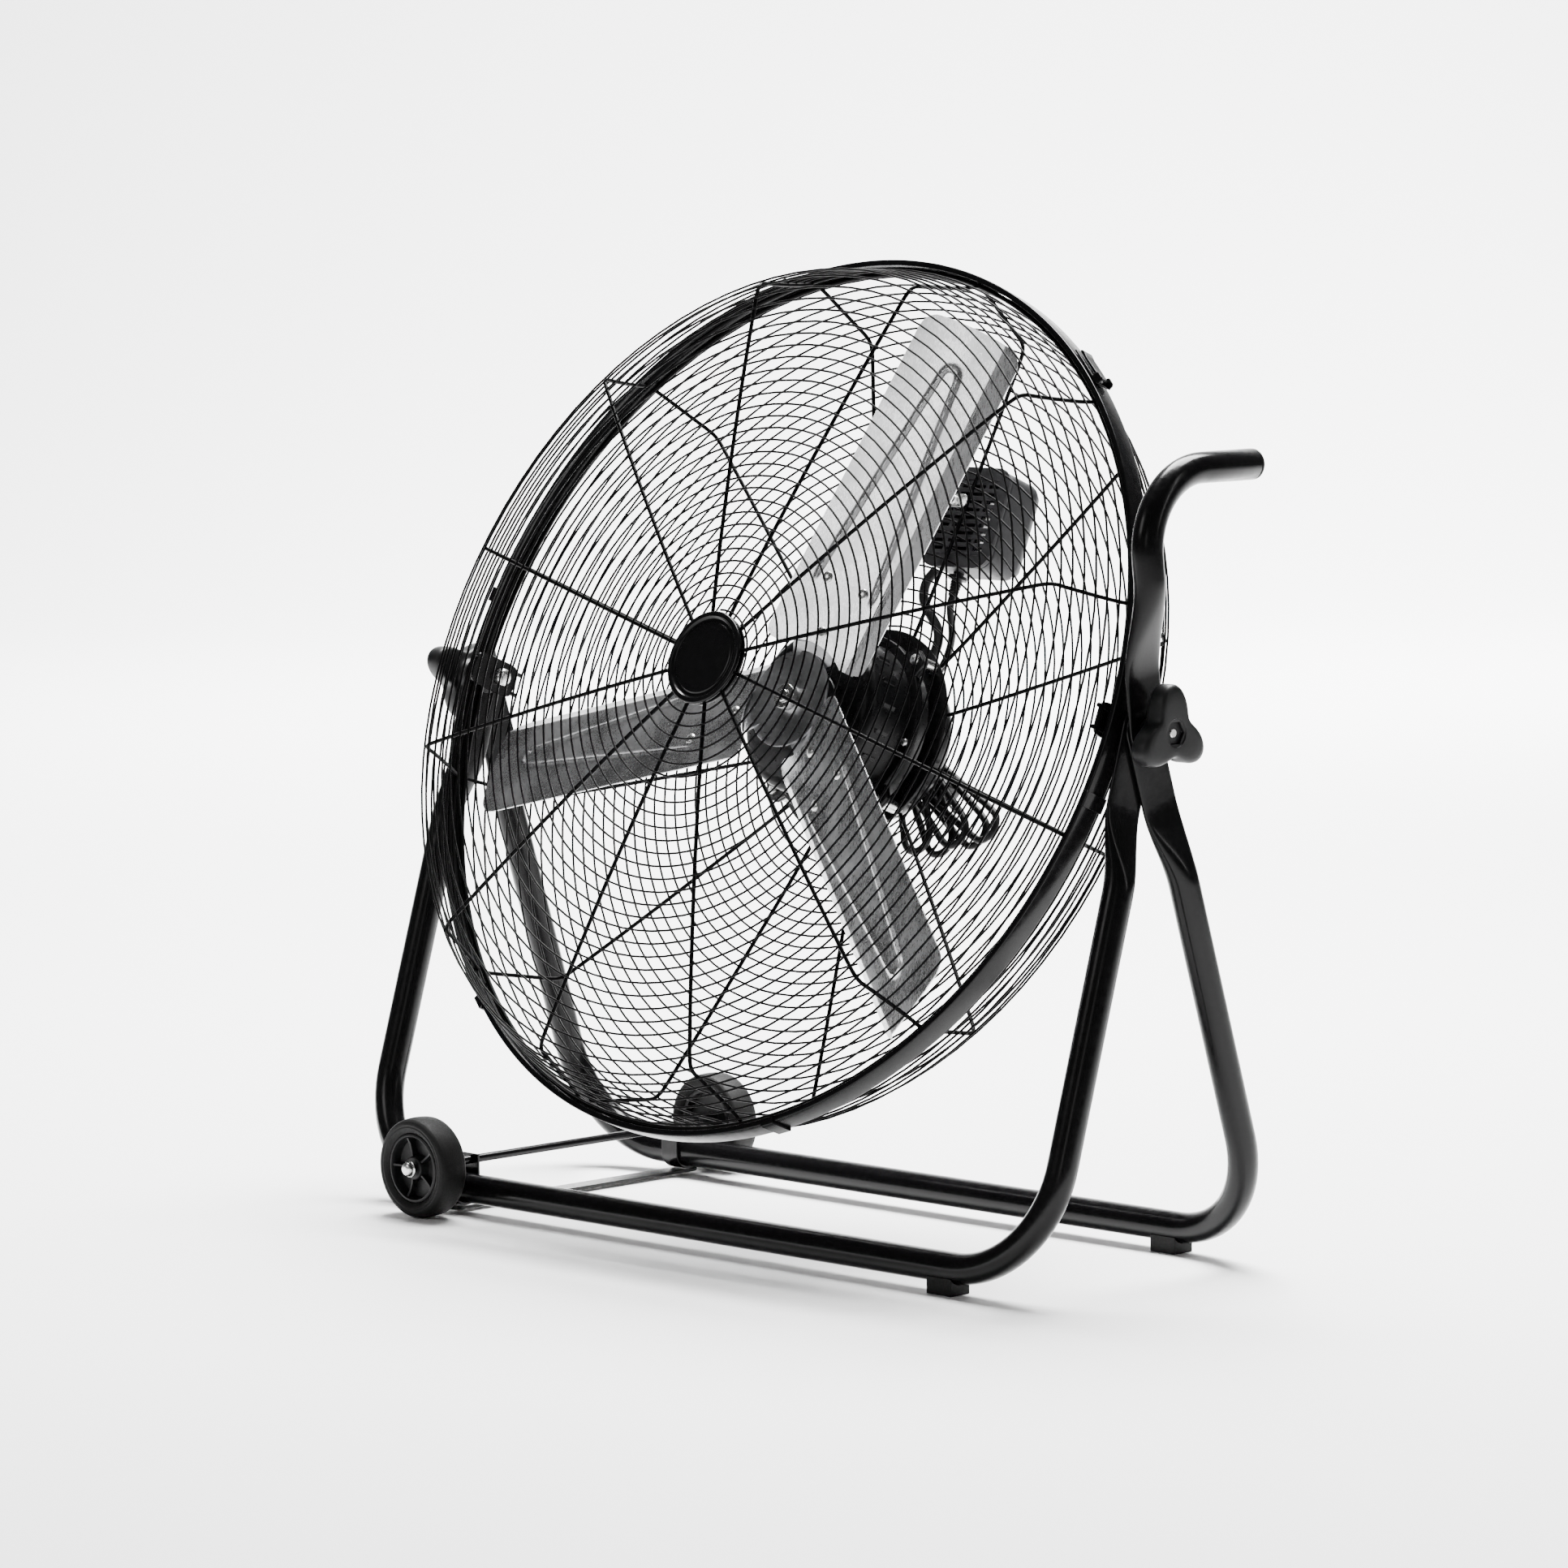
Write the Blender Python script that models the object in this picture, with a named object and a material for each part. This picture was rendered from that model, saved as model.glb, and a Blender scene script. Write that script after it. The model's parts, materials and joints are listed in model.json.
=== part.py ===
"""Tilting high-velocity floor fan on two U-shaped tube frames, with transport wheels and a carrying handle.

World frame: metres, +Z up, origin on the floor under the tilt axis. The tilt axis runs along X.
Head frame: origin on the tilt axis, +Y towards the motor, so the air leaves along -Y.
"""

import math

import bmesh
import bpy
from mathutils import Matrix, Vector

# Stand
TUBE_R = 0.014
PIVOT_Z = 0.493
RAIL_Z = 0.0235
RAIL_Y = 0.145
LEG_X = 0.4445
BEND_R = 0.102
FLAT_HALF_WIDTH = 0.021
FLAT_HALF_THICK = 0.0022
FRONT_FLAT_X = 0.4307
REAR_FLAT_X = 0.4354
HANDLE_FLAT_X = 0.4401
FLAT_END_S = 0.068
ROUND_START_S = 0.096
BOLT_R = 0.0040
BOLT_HOLE_R = 0.0042

# Handle
HANDLE_X = 0.4580
HANDLE_TOP_Z = 0.722
HANDLE_BEND_R = 0.070
HANDLE_LEAN = 0.112
HANDLE_END_Y = 0.118

# Wheels
AXLE_X = -0.316
AXLE_Z = 0.0475
AXLE_R = 0.0040
AXLE_HALF = 0.2115
WHEEL_R = 0.0475
WHEEL_Y = 0.190
WHEEL_HALF = 0.016
FOOT_X = 0.333

# Head
TILT = math.radians(22.8)
BAND_R = 0.425
BAND_FRONT_Y = -0.0300
BAND_REAR_Y = -0.0080
RIBS = 12
RIB_HALF = 0.00225
RING_HALF = 0.0025
WIRE_HALF = 0.00175
LATCH_ANGLE = 40.0
CLIP_ANGLES = (100.0, 160.0, 220.0, 280.0, 340.0)

# Blades
BLADE_ANGLES = (16.0, 136.0, -104.0)
BLADE_TIP_R = 0.381
BLADE_HALF_CHORD = 0.056
BLADE_PITCH = math.radians(16.0)
BLADE_Y = -0.0100
BLADE_HALF_THICK = 0.0006
SCALLOP_R = 0.056
SHAFT_R = 0.0060

# Switch box, in the head frame
BOX_X = (0.010, 0.095)
BOX_Z = (0.170, 0.265)
BOX_Y = (0.0975, 0.1520)
BOX_WALL = 0.0022

# Power cord, in the head frame
CORD_R = 0.0035
CORD_EXIT = (0.0390, 0.1200, 0.1468)
HANK_CENTRE = (0.0550, 0.1555, -0.0450)
HANK_ANGLE = math.radians(-41.0)
HANK_LENGTH = 0.130
HANK_WIDTH = 0.062
HANK_THICK = 0.022

for old in list(bpy.data.objects):
    bpy.data.objects.remove(old, do_unlink=True)


def material(name, colour, roughness, metallic):
    made = bpy.data.materials.new(name)
    made.use_nodes = True
    shader = made.node_tree.nodes["Principled BSDF"]
    shader.inputs["Base Color"].default_value = (*colour, 1.0)
    shader.inputs["Roughness"].default_value = roughness
    shader.inputs["Metallic"].default_value = metallic
    return made


BLACK_PAINT = material("black_paint", (0.012, 0.012, 0.013), 0.25, 0.0)
GUARD_WIRE = material("guard_wire", (0.014, 0.014, 0.015), 0.35, 0.0)
ALUMINIUM = material("aluminium", (0.72, 0.73, 0.75), 0.35, 1.0)
ZINC_STEEL = material("zinc_steel", (0.62, 0.62, 0.62), 0.35, 1.0)
RUBBER = material("rubber", (0.025, 0.025, 0.025), 0.8, 0.0)
BLACK_PLASTIC = material("black_plastic", (0.02, 0.02, 0.021), 0.45, 0.0)
GREY_PLASTIC = material("grey_plastic", (0.10, 0.10, 0.105), 0.5, 0.0)
COPPER = material("copper", (0.72, 0.40, 0.25), 0.4, 1.0)
CORE_STEEL = material("core_steel", (0.35, 0.35, 0.36), 0.45, 1.0)


def finish(name, bm, surface, parent=None):
    """Turns the bmesh into a named solid with outward normals and smooth round faces."""
    bmesh.ops.recalc_face_normals(bm, faces=bm.faces)
    mesh = bpy.data.meshes.new(name)
    bm.to_mesh(mesh)
    bm.free()
    mesh.materials.append(surface)
    mesh.shade_smooth()
    mesh.set_sharp_from_angle(angle=math.radians(35.0))
    made = bpy.data.objects.new(name, mesh)
    bpy.context.scene.collection.objects.link(made)
    made.parent = parent
    return made


def axis_empty(name, location, parent=None):
    made = bpy.data.objects.new(name, None)
    bpy.context.scene.collection.objects.link(made)
    made.parent = parent
    made.location = location
    return made


def loft(bm, loops, closed=False):
    """Joins loops of equal length in order. An open loft has end caps, a closed one joins last to first."""
    rows = [[bm.verts.new(point) for point in loop] for loop in loops]
    count = len(rows[0])
    last = len(rows) if closed else len(rows) - 1
    for i in range(last):
        here = rows[i]
        there = rows[(i + 1) % len(rows)]
        for j in range(count):
            k = (j + 1) % count
            bm.faces.new((here[j], here[k], there[k], there[j]))
    if not closed:
        bm.faces.new(rows[0])
        bm.faces.new(rows[-1])
    return rows


def turned(bm, profile, steps, closed=False, offset=0.0, reach=None):
    """Turns (radius, y) points about Y. Angles run from +Z towards +X, and radius 0 makes a pole."""
    rows = []
    for radius, y in profile:
        if radius < 1e-6:
            rows.append([bm.verts.new((0.0, y, 0.0))])
            continue
        row = []
        for i in range(steps):
            angle = 2.0 * math.pi * i / steps + offset
            r = reach(radius, angle) if reach else radius
            row.append(bm.verts.new((r * math.sin(angle), y, r * math.cos(angle))))
        rows.append(row)
    for i in range(len(rows) if closed else len(rows) - 1):
        here = rows[i]
        there = rows[(i + 1) % len(rows)]
        for j in range(steps):
            k = (j + 1) % steps
            if len(here) == 1:
                bm.faces.new((here[0], there[k], there[j]))
            elif len(there) == 1:
                bm.faces.new((here[j], here[k], there[0]))
            else:
                bm.faces.new((here[j], here[k], there[k], there[j]))


def box(bm, low, high):
    loops = []
    for z in (low[2], high[2]):
        loops.append([
            (low[0], low[1], z), (high[0], low[1], z), (high[0], high[1], z), (low[0], high[1], z),
        ])
    return loft(bm, loops)


def extruded(bm, outline, axis, low, high):
    """Extrudes a 2-D outline along X or Y. The outline is (y, z) for X and (x, z) for Y."""
    if axis == "X":
        loops = [[(level, a, b) for a, b in outline] for level in (low, high)]
    else:
        loops = [[(a, level, b) for a, b in outline] for level in (low, high)]
    return loft(bm, loops)


def rod(bm, centre, radius, axis, low, high, steps=16):
    """A plain round bar along one axis. centre is the pair of the other two coordinates."""
    loops = []
    for level in (low, high):
        loop = []
        for i in range(steps):
            angle = 2.0 * math.pi * i / steps
            a = centre[0] + radius * math.cos(angle)
            b = centre[1] + radius * math.sin(angle)
            loop.append({"X": (level, a, b), "Y": (a, level, b), "Z": (a, b, level)}[axis])
        loops.append(loop)
    return loft(bm, loops)


def use_boolean(target, other, operation):
    made = target.modifiers.new(operation.lower(), "BOOLEAN")
    made.operation = operation
    made.solver = "EXACT"
    made.object = other
    other.hide_render = True
    other.display_type = "WIRE"


def oval(half_a, half_b, squareness, steps=16):
    """Points of a rounded oval. squareness 1 is an ellipse, and a lower value is boxier."""
    points = []
    for i in range(steps):
        angle = 2.0 * math.pi * (i + 0.5) / steps
        c = math.cos(angle)
        s = math.sin(angle)
        a = math.copysign(abs(c) ** squareness, c) * half_a
        b = math.copysign(abs(s) ** squareness, s) * half_b
        points.append((a, b))
    return points


def tube_loop(centre, side, width, half_side, half_width, squareness):
    """One section of a tube: side and width are unit vectors across it."""
    loop = []
    for a, b in oval(half_side, half_width, squareness):
        loop.append(centre + side * a + width * b)
    return loop


def smooth_step(t):
    t = min(max(t, 0.0), 1.0)
    return t * t * (3.0 - 2.0 * t)


def flat_end_stations():
    """(distance below the pivot, share of round) down a flattened leg end, tip first."""
    tip = [(-FLAT_HALF_WIDTH * math.cos(math.radians(a)), 0.0) for a in (8.0, 30.0, 55.0)]
    flat = [(0.0, 0.0), (FLAT_END_S * 0.6, 0.0), (FLAT_END_S, 0.0)]
    blend = []
    for t in (0.25, 0.5, 0.75, 1.0):
        s = FLAT_END_S + (ROUND_START_S - FLAT_END_S) * t
        blend.append((s, smooth_step(t)))
    return tip + flat + blend


def leg_section(s, share, flat_x, up, across):
    """Left leg's section at distance s below the pivot. share runs from 0, pressed flat, to 1, round."""
    x = flat_x + (LEG_X - flat_x) * share
    centre = Vector((-x, 0.0, PIVOT_Z)) - up * s
    half_side = FLAT_HALF_THICK + (TUBE_R - FLAT_HALF_THICK) * share
    half_width = FLAT_HALF_WIDTH + (TUBE_R - FLAT_HALF_WIDTH) * share
    if s < 0.0:
        half_width = math.sqrt(max(FLAT_HALF_WIDTH ** 2 - s ** 2, 0.0016 ** 2))
    squareness = 0.45 + 0.55 * share
    return tube_loop(centre, Vector((1.0, 0.0, 0.0)), across, half_side, half_width, squareness)


def leg_frame(name, rail_y, flat_x):
    """A tube bent into a U: two legs up to the tilt axis and a rail along the floor."""
    up = Vector((0.0, -rail_y, PIVOT_Z - RAIL_Z)).normalized()
    across = up.cross(Vector((1.0, 0.0, 0.0)))
    leg_length = math.hypot(rail_y, PIVOT_Z - RAIL_Z)
    half = []
    for s, share in flat_end_stations():
        half.append(leg_section(s, share, flat_x, up, across))
    steps = 7
    for i in range(steps):
        a = math.radians(90.0) * i / (steps - 1)
        x = LEG_X - BEND_R + BEND_R * math.cos(a)
        s = leg_length - BEND_R + BEND_R * math.sin(a)
        centre = Vector((-x, 0.0, PIVOT_Z)) - up * s
        side = Vector((math.cos(a), 0.0, 0.0)) + up * math.sin(a)
        half.append(tube_loop(centre, side, across, TUBE_R, TUBE_R, 1.0))
    mirrored = [[Vector((-p.x, p.y, p.z)) for p in loop] for loop in reversed(half)]
    bm = bmesh.new()
    loft(bm, half + mirrored)
    frame = finish(name, bm, BLACK_PAINT)
    drill = bmesh.new()
    rod(drill, (0.0, PIVOT_Z), BOLT_HOLE_R, "X", -0.47, 0.47)
    use_boolean(frame, finish(name + "_drill", drill, BLACK_PAINT), "DIFFERENCE")
    return frame


def handle_tube():
    """A tube pressed flat over the tilt bolt, rising and then bending back into a level grip."""
    across_x = Vector((1.0, 0.0, 0.0))
    lean = Vector((0.0, -HANDLE_LEAN, 1.0)).normalized()
    loops = []
    for s, share in flat_end_stations():
        reach = s * 0.82 if s > 0.0 else s
        x = HANDLE_FLAT_X + (HANDLE_X - HANDLE_FLAT_X) * share
        centre = Vector((x, 0.0, PIVOT_Z)) + lean * reach
        half_side = FLAT_HALF_THICK + (TUBE_R - FLAT_HALF_THICK) * share
        half_width = FLAT_HALF_WIDTH + (TUBE_R - FLAT_HALF_WIDTH) * share
        if s < 0.0:
            half_width = math.sqrt(max(FLAT_HALF_WIDTH ** 2 - s ** 2, 0.0016 ** 2))
        width = lean.cross(across_x)
        loops.append(tube_loop(centre, across_x, width, half_side, half_width, 0.45 + 0.55 * share))
    turn = math.pi / 2.0 + math.atan(HANDLE_LEAN)
    start_z = HANDLE_TOP_Z - HANDLE_BEND_R * (1.0 + math.sin(math.atan(HANDLE_LEAN)))
    start = Vector((HANDLE_X, -HANDLE_LEAN * (start_z - PIVOT_Z), start_z))
    inward = Vector((0.0, 1.0, HANDLE_LEAN)).normalized()
    bend_centre = start + inward * HANDLE_BEND_R
    steps = 8
    for i in range(steps):
        a = turn * i / (steps - 1)
        out = -inward * math.cos(a) + lean * math.sin(a)
        centre = bend_centre + out * HANDLE_BEND_R
        loops.append(tube_loop(centre, across_x, -out, TUBE_R, TUBE_R, 1.0))
    end = Vector((HANDLE_X, HANDLE_END_Y, HANDLE_TOP_Z))
    loops.append(tube_loop(end, across_x, Vector((0.0, 0.0, -1.0)), TUBE_R, TUBE_R, 1.0))
    bm = bmesh.new()
    loft(bm, loops)
    tube = finish("handle_tube", bm, BLACK_PAINT)
    drill = bmesh.new()
    rod(drill, (0.0, PIVOT_Z), BOLT_HOLE_R, "X", 0.42, 0.47)
    use_boolean(tube, finish("handle_drill", drill, BLACK_PAINT), "DIFFERENCE")
    plug = bmesh.new()
    y = HANDLE_END_Y + 0.0003
    turned(plug, [(0.0, y), (TUBE_R, y), (TUBE_R, y + 0.003), (0.0105, y + 0.0065), (0.0, y + 0.008)], 20)
    cap = finish("handle_end_plug", plug, BLACK_PLASTIC)
    cap.location = (HANDLE_X, 0.0, HANDLE_TOP_Z)


def saddle_outline(inner, outer, top, steps=10):
    """A U in (y, z) about a rail's centre, open at the top."""
    points = [(outer, top)]
    for i in range(steps + 1):
        a = -math.pi * i / steps
        points.append((outer * math.cos(a), outer * math.sin(a)))
    points.append((-outer, top))
    points.append((-inner, top))
    for i in range(steps + 1):
        a = -math.pi + math.pi * i / steps
        points.append((inner * math.cos(a), inner * math.sin(a)))
    points.append((inner, top))
    return points


def axle_bracket(name, rail_y):
    outline = saddle_outline(TUBE_R + 0.0003, TUBE_R + 0.0030, 0.0310)
    outline = [(rail_y + y, RAIL_Z + z) for y, z in outline]
    bm = bmesh.new()
    extruded(bm, outline, "X", AXLE_X - 0.011, AXLE_X + 0.011)
    bracket = finish(name, bm, BLACK_PAINT)
    drill = bmesh.new()
    rod(drill, (AXLE_X, AXLE_Z), AXLE_R + 0.0002, "Y", rail_y - 0.03, rail_y + 0.03)
    use_boolean(bracket, finish(name + "_drill", drill, BLACK_PAINT), "DIFFERENCE")


def foot(name, rail_y):
    """A rubber pad under a rail, hollowed to the tube."""
    inner = TUBE_R + 0.0003
    half = 0.012
    edge = math.asin(half / inner)
    outline = [(-half, 0.0), (half, 0.0)]
    for i in range(9):
        a = edge - 2.0 * edge * i / 8
        outline.append((inner * math.sin(a), RAIL_Z - inner * math.cos(a)))
    bm = bmesh.new()
    extruded(bm, [(rail_y + y, z) for y, z in outline], "X", FOOT_X - 0.015, FOOT_X + 0.015)
    finish(name, bm, RUBBER)


def wheel(side_name, sign):
    """A moulded wheel: hub with a long inner boss, and a crowned tyre round it."""
    axle = axis_empty(side_name + "_wheel_axis", (AXLE_X, sign * WHEEL_Y, AXLE_Z))
    bore = AXLE_R + 0.0002
    inside = -0.0255 * sign
    outside = 0.0170 * sign
    hub = bmesh.new()
    profile = [
        (bore, inside), (0.0090, inside), (0.0090, -0.0030 * sign), (0.0290, -0.0030 * sign),
        (0.0290, -0.0125 * sign), (0.0328, -0.0125 * sign), (0.0328, 0.0125 * sign),
        (0.0290, 0.0125 * sign), (0.0290, 0.0030 * sign), (0.0090, 0.0030 * sign),
        (0.0090, outside), (bore, outside),
    ]
    turned(hub, profile, 24, closed=True)
    finish(side_name + "_wheel_hub", hub, BLACK_PLASTIC, axle)
    tyre = bmesh.new()
    profile = [
        (0.0332, -0.0135), (0.0400, -WHEEL_HALF), (0.0450, -0.0140), (WHEEL_R, -0.0060),
        (WHEEL_R, 0.0060), (0.0450, 0.0140), (0.0400, WHEEL_HALF), (0.0332, 0.0135),
    ]
    turned(tyre, profile, 32, closed=True)
    finish(side_name + "_tyre", tyre, RUBBER, axle)


def stand():
    leg_frame("front_leg_frame", -RAIL_Y, FRONT_FLAT_X)
    leg_frame("rear_leg_frame", RAIL_Y, REAR_FLAT_X)
    handle_tube()
    for name, sign in (("front", -1.0), ("rear", 1.0)):
        axle_bracket(name + "_axle_bracket", sign * RAIL_Y)
        foot(name + "_foot", sign * RAIL_Y)
        wheel(name, sign)
    bm = bmesh.new()
    rod(bm, (AXLE_X, AXLE_Z), AXLE_R, "Y", -AXLE_HALF, AXLE_HALF)
    finish("axle_rod", bm, ZINC_STEEL)
    bm = bmesh.new()
    box(bm, (AXLE_X - 0.011, -RAIL_Y - 0.016, 0.0032), (AXLE_X + 0.011, RAIL_Y + 0.016, 0.0062))
    finish("axle_strap", bm, BLACK_PAINT)


def knob(name, sign):
    """A three-lobed clamping knob with a round skirt and a blind threaded bore."""
    axis = axis_empty(name + "_axis", (0.0, 0.0, PIVOT_Z))
    stations = [
        (0.4640, BOLT_HOLE_R, 0.0), (0.4427, BOLT_HOLE_R, 0.0),
        (0.4427, 0.0125, 0.0), (0.4545, 0.0150, 0.0),
        (0.4550, 0.0300, 0.30), (0.4580, 0.0325, 0.32),
        (0.4715, 0.0325, 0.32), (0.4755, 0.0290, 0.30),
        (0.4755, 0.0140, 0.0), (0.4725, 0.0135, 0.0),
    ]
    loops = []
    for x, radius, lobe in stations:
        loop = []
        for i in range(24):
            a = 2.0 * math.pi * i / 24
            r = radius * (1.0 + lobe * math.cos(3.0 * (a + sign * math.radians(30.0))))
            loop.append((sign * x, r * math.cos(a), r * math.sin(a)))
        loops.append(loop)
    bm = bmesh.new()
    loft(bm, loops)
    finish(name, bm, BLACK_PLASTIC, axis)


def pivot(side_name, sign, head):
    """Bracket, bush and bolt that carry one side of the head, all turning with it."""
    bm = bmesh.new()
    low = (min(sign * 0.4090, sign * 0.4120), -0.0350, -0.0160)
    high = (max(sign * 0.4090, sign * 0.4120), 0.0200, 0.0160)
    box(bm, low, high)
    bracket = finish(side_name + "_pivot_bracket", bm, BLACK_PAINT, head)
    for z in (-0.0100, 0.0100):
        prong = bmesh.new()
        rod(prong, (sign * 0.4100, z), 0.0020, "Y", -0.0380, 0.0275, steps=10)
        use_boolean(bracket, finish(side_name + "_prong", prong, BLACK_PAINT, head), "UNION")
    drill = bmesh.new()
    rod(drill, (0.0, 0.0), BOLT_HOLE_R, "X", sign * 0.400, sign * 0.420)
    use_boolean(bracket, finish(side_name + "_bracket_drill", drill, BLACK_PAINT, head), "DIFFERENCE")

    bush = bmesh.new()
    loops = []
    for x, radius in (
        (0.4123, BOLT_HOLE_R), (0.4123, 0.0072), (0.4255, 0.0072),
        (0.4255, 0.0165), (0.4282, 0.0165), (0.4282, BOLT_HOLE_R),
    ):
        loops.append([
            (sign * x, radius * math.cos(math.pi * i / 10), radius * math.sin(math.pi * i / 10))
            for i in range(20)
        ])
    loft(bush, loops, closed=True)
    finish(side_name + "_spacer_bush", bush, BLACK_PLASTIC, head)

    bolt = bmesh.new()
    loops = []
    stations = ((0.4010, 0.0055), (0.4030, 0.0085), (0.4087, 0.0085), (0.4087, BOLT_R), (0.4620, BOLT_R))
    for x, radius in stations:
        loops.append([
            (sign * x, radius * math.cos(math.pi * i / 8), radius * math.sin(math.pi * i / 8))
            for i in range(16)
        ])
    loft(bolt, loops)
    finish(side_name + "_pivot_bolt", bolt, ZINC_STEEL, head)


def guard(name, stations, head):
    """A wire guard as one open lattice: a ring at each station, and ribs that join the rings.

    stations are (radius, y) along the guard's outline, from the centre ring to the rim.
    """
    points = [Vector((r, y)) for r, y in stations]
    tangents = []
    for i in range(len(points)):
        before = points[max(i - 1, 0)]
        after = points[min(i + 1, len(points) - 1)]
        tangents.append((after - before).normalized())
    lines = []
    for point, tangent in zip(points, tangents):
        normal = Vector((-tangent.y, tangent.x))
        lines.append((point - tangent * RING_HALF, normal))
        lines.append((point + tangent * RING_HALF, normal))
    bm = bmesh.new()
    layers = []
    for side in (-1.0, 1.0):
        rows = []
        for centre, normal in lines:
            at = centre + normal * (WIRE_HALF * side)
            row = []
            for k in range(RIBS):
                middle = 2.0 * math.pi * (k + 0.5) / RIBS
                half = math.asin(RIB_HALF / at.x)
                for angle in (middle - half, middle + half, middle + math.pi / RIBS):
                    row.append(bm.verts.new((at.x * math.sin(angle), at.y, at.x * math.cos(angle))))
            rows.append(row)
        layers.append(rows)
    columns = RIBS * 3
    kept = set()
    for i in range(len(lines) - 1):
        for j in range(columns):
            if i % 2 == 0 or j % 3 == 0:
                kept.add((i, j))
    for i, j in kept:
        k = (j + 1) % columns
        for rows in layers:
            bm.faces.new((rows[i][j], rows[i][k], rows[i + 1][k], rows[i + 1][j]))
        inner, outer = layers
        walls = (
            ((i - 1, j), (i, j), (i, k)),
            ((i + 1, j), (i + 1, j), (i + 1, k)),
            ((i, (j - 1) % columns), (i, j), (i + 1, j)),
            ((i, k), (i, k), (i + 1, k)),
        )
        for neighbour, a, b in walls:
            if neighbour not in kept:
                bm.faces.new((inner[a[0]][a[1]], inner[b[0]][b[1]], outer[b[0]][b[1]], outer[a[0]][a[1]]))
    finish(name, bm, GUARD_WIRE, head)


def front_guard_stations():
    face = []
    for r in (0.033, 0.120, 0.210, 0.300):
        face.append((r, -0.1000 - 0.0222 * (1.0 - (r / 0.391) ** 2)))
    return face + [(0.391, -0.1000), (0.4035, -0.0640), (0.4165, -0.0240)]


REAR_GUARD_STATIONS = (
    (0.0935, 0.1000), (0.1920, 0.0900), (0.2900, 0.0780),
    (0.3940, 0.0625), (0.4045, 0.0335), (0.4165, -0.0145),
)


def head_rotation(angle):
    """Turns a piece built at the top of the head round to its place. Clockwise seen from the front."""
    return (0.0, math.radians(angle), 0.0)


def band_parts(head):
    bm = bmesh.new()
    profile = [
        (BAND_R, BAND_FRONT_Y), (BAND_R, BAND_REAR_Y), (0.4195, BAND_REAR_Y), (0.4195, -0.0095),
        (0.4225, -0.0095), (0.4225, -0.0285), (0.4195, -0.0285), (0.4195, BAND_FRONT_Y),
    ]
    turned(bm, profile, 72, closed=True)
    finish("guard_band", bm, BLACK_PAINT, head)

    middle_y = (BAND_FRONT_Y + BAND_REAR_Y) / 2.0
    bm = bmesh.new()
    box(bm, (-0.0240, middle_y - 0.0085, 0.4256), (0.0240, middle_y + 0.0085, 0.4274))
    base = finish("latch_base", bm, ZINC_STEEL, head)
    base.rotation_euler = head_rotation(LATCH_ANGLE)
    hinge_x = 0.0200
    ears = bmesh.new()
    box(ears, (hinge_x - 0.004, middle_y - 0.0085, 0.4268), (hinge_x + 0.004, middle_y - 0.0067, 0.4330))
    use_boolean(base, finish("latch_ear_a", ears, ZINC_STEEL, base), "UNION")
    ears = bmesh.new()
    box(ears, (hinge_x - 0.004, middle_y + 0.0067, 0.4268), (hinge_x + 0.004, middle_y + 0.0085, 0.4330))
    use_boolean(base, finish("latch_ear_b", ears, ZINC_STEEL, base), "UNION")
    axis = axis_empty("latch_axis", (0.0, 0.0, 0.0), head)
    angle = math.radians(LATCH_ANGLE)
    r = 0.4302
    axis.location = (
        r * math.sin(angle) + hinge_x * math.cos(angle),
        middle_y,
        r * math.cos(angle) - hinge_x * math.sin(angle),
    )
    axis.rotation_euler = head_rotation(LATCH_ANGLE)
    bm = bmesh.new()
    box(bm, (-0.0410, -0.0060, -0.0015), (0.0015, 0.0060, 0.0015))
    finish("latch_lever", bm, ZINC_STEEL, axis)

    for number, place in enumerate(CLIP_ANGLES, 1):
        front = BAND_FRONT_Y - 0.0003
        rear = BAND_REAR_Y + 0.0003
        outline = [
            (front - 0.0015, 0.4275), (rear + 0.0015, 0.4275), (rear + 0.0015, 0.4203), (rear, 0.4203),
            (rear, 0.4258), (front, 0.4258), (front, 0.4203), (front - 0.0015, 0.4203),
        ]
        bm = bmesh.new()
        extruded(bm, outline, "X", -0.0070, 0.0070)
        clip = finish("guard_clip_{}".format(number), bm, ZINC_STEEL, head)
        clip.rotation_euler = head_rotation(place)


def cap_parts(head):
    bm = bmesh.new()
    turned(bm, [
        (0.0, -0.1272), (0.0340, -0.1272), (0.0355, -0.1262), (0.0375, -0.1262),
        (0.0390, -0.1280), (0.0430, -0.1280), (0.0445, -0.1262), (0.0445, -0.1245), (0.0, -0.1245),
    ], 32)
    finish("hub_cap", bm, BLACK_PAINT, head)
    bm = bmesh.new()
    turned(bm, [(0.0, -0.1165), (0.0430, -0.1165), (0.0430, -0.1198), (0.0, -0.1198)], 32)
    finish("hub_cap_back", bm, BLACK_PAINT, head)


def blade_frame(angle):
    """Origin and axes of a pitched blade: along its length, across its chord and out of its front face."""
    a = math.radians(angle)
    radial = Vector((math.sin(a), 0.0, math.cos(a)))
    clockwise = Vector((math.cos(a), 0.0, -math.sin(a)))
    rear = Vector((0.0, 1.0, 0.0))
    chord = clockwise * math.cos(BLADE_PITCH) + rear * math.sin(BLADE_PITCH)
    out = clockwise * math.sin(BLADE_PITCH) - rear * math.cos(BLADE_PITCH)
    return radial, chord, out


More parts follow.
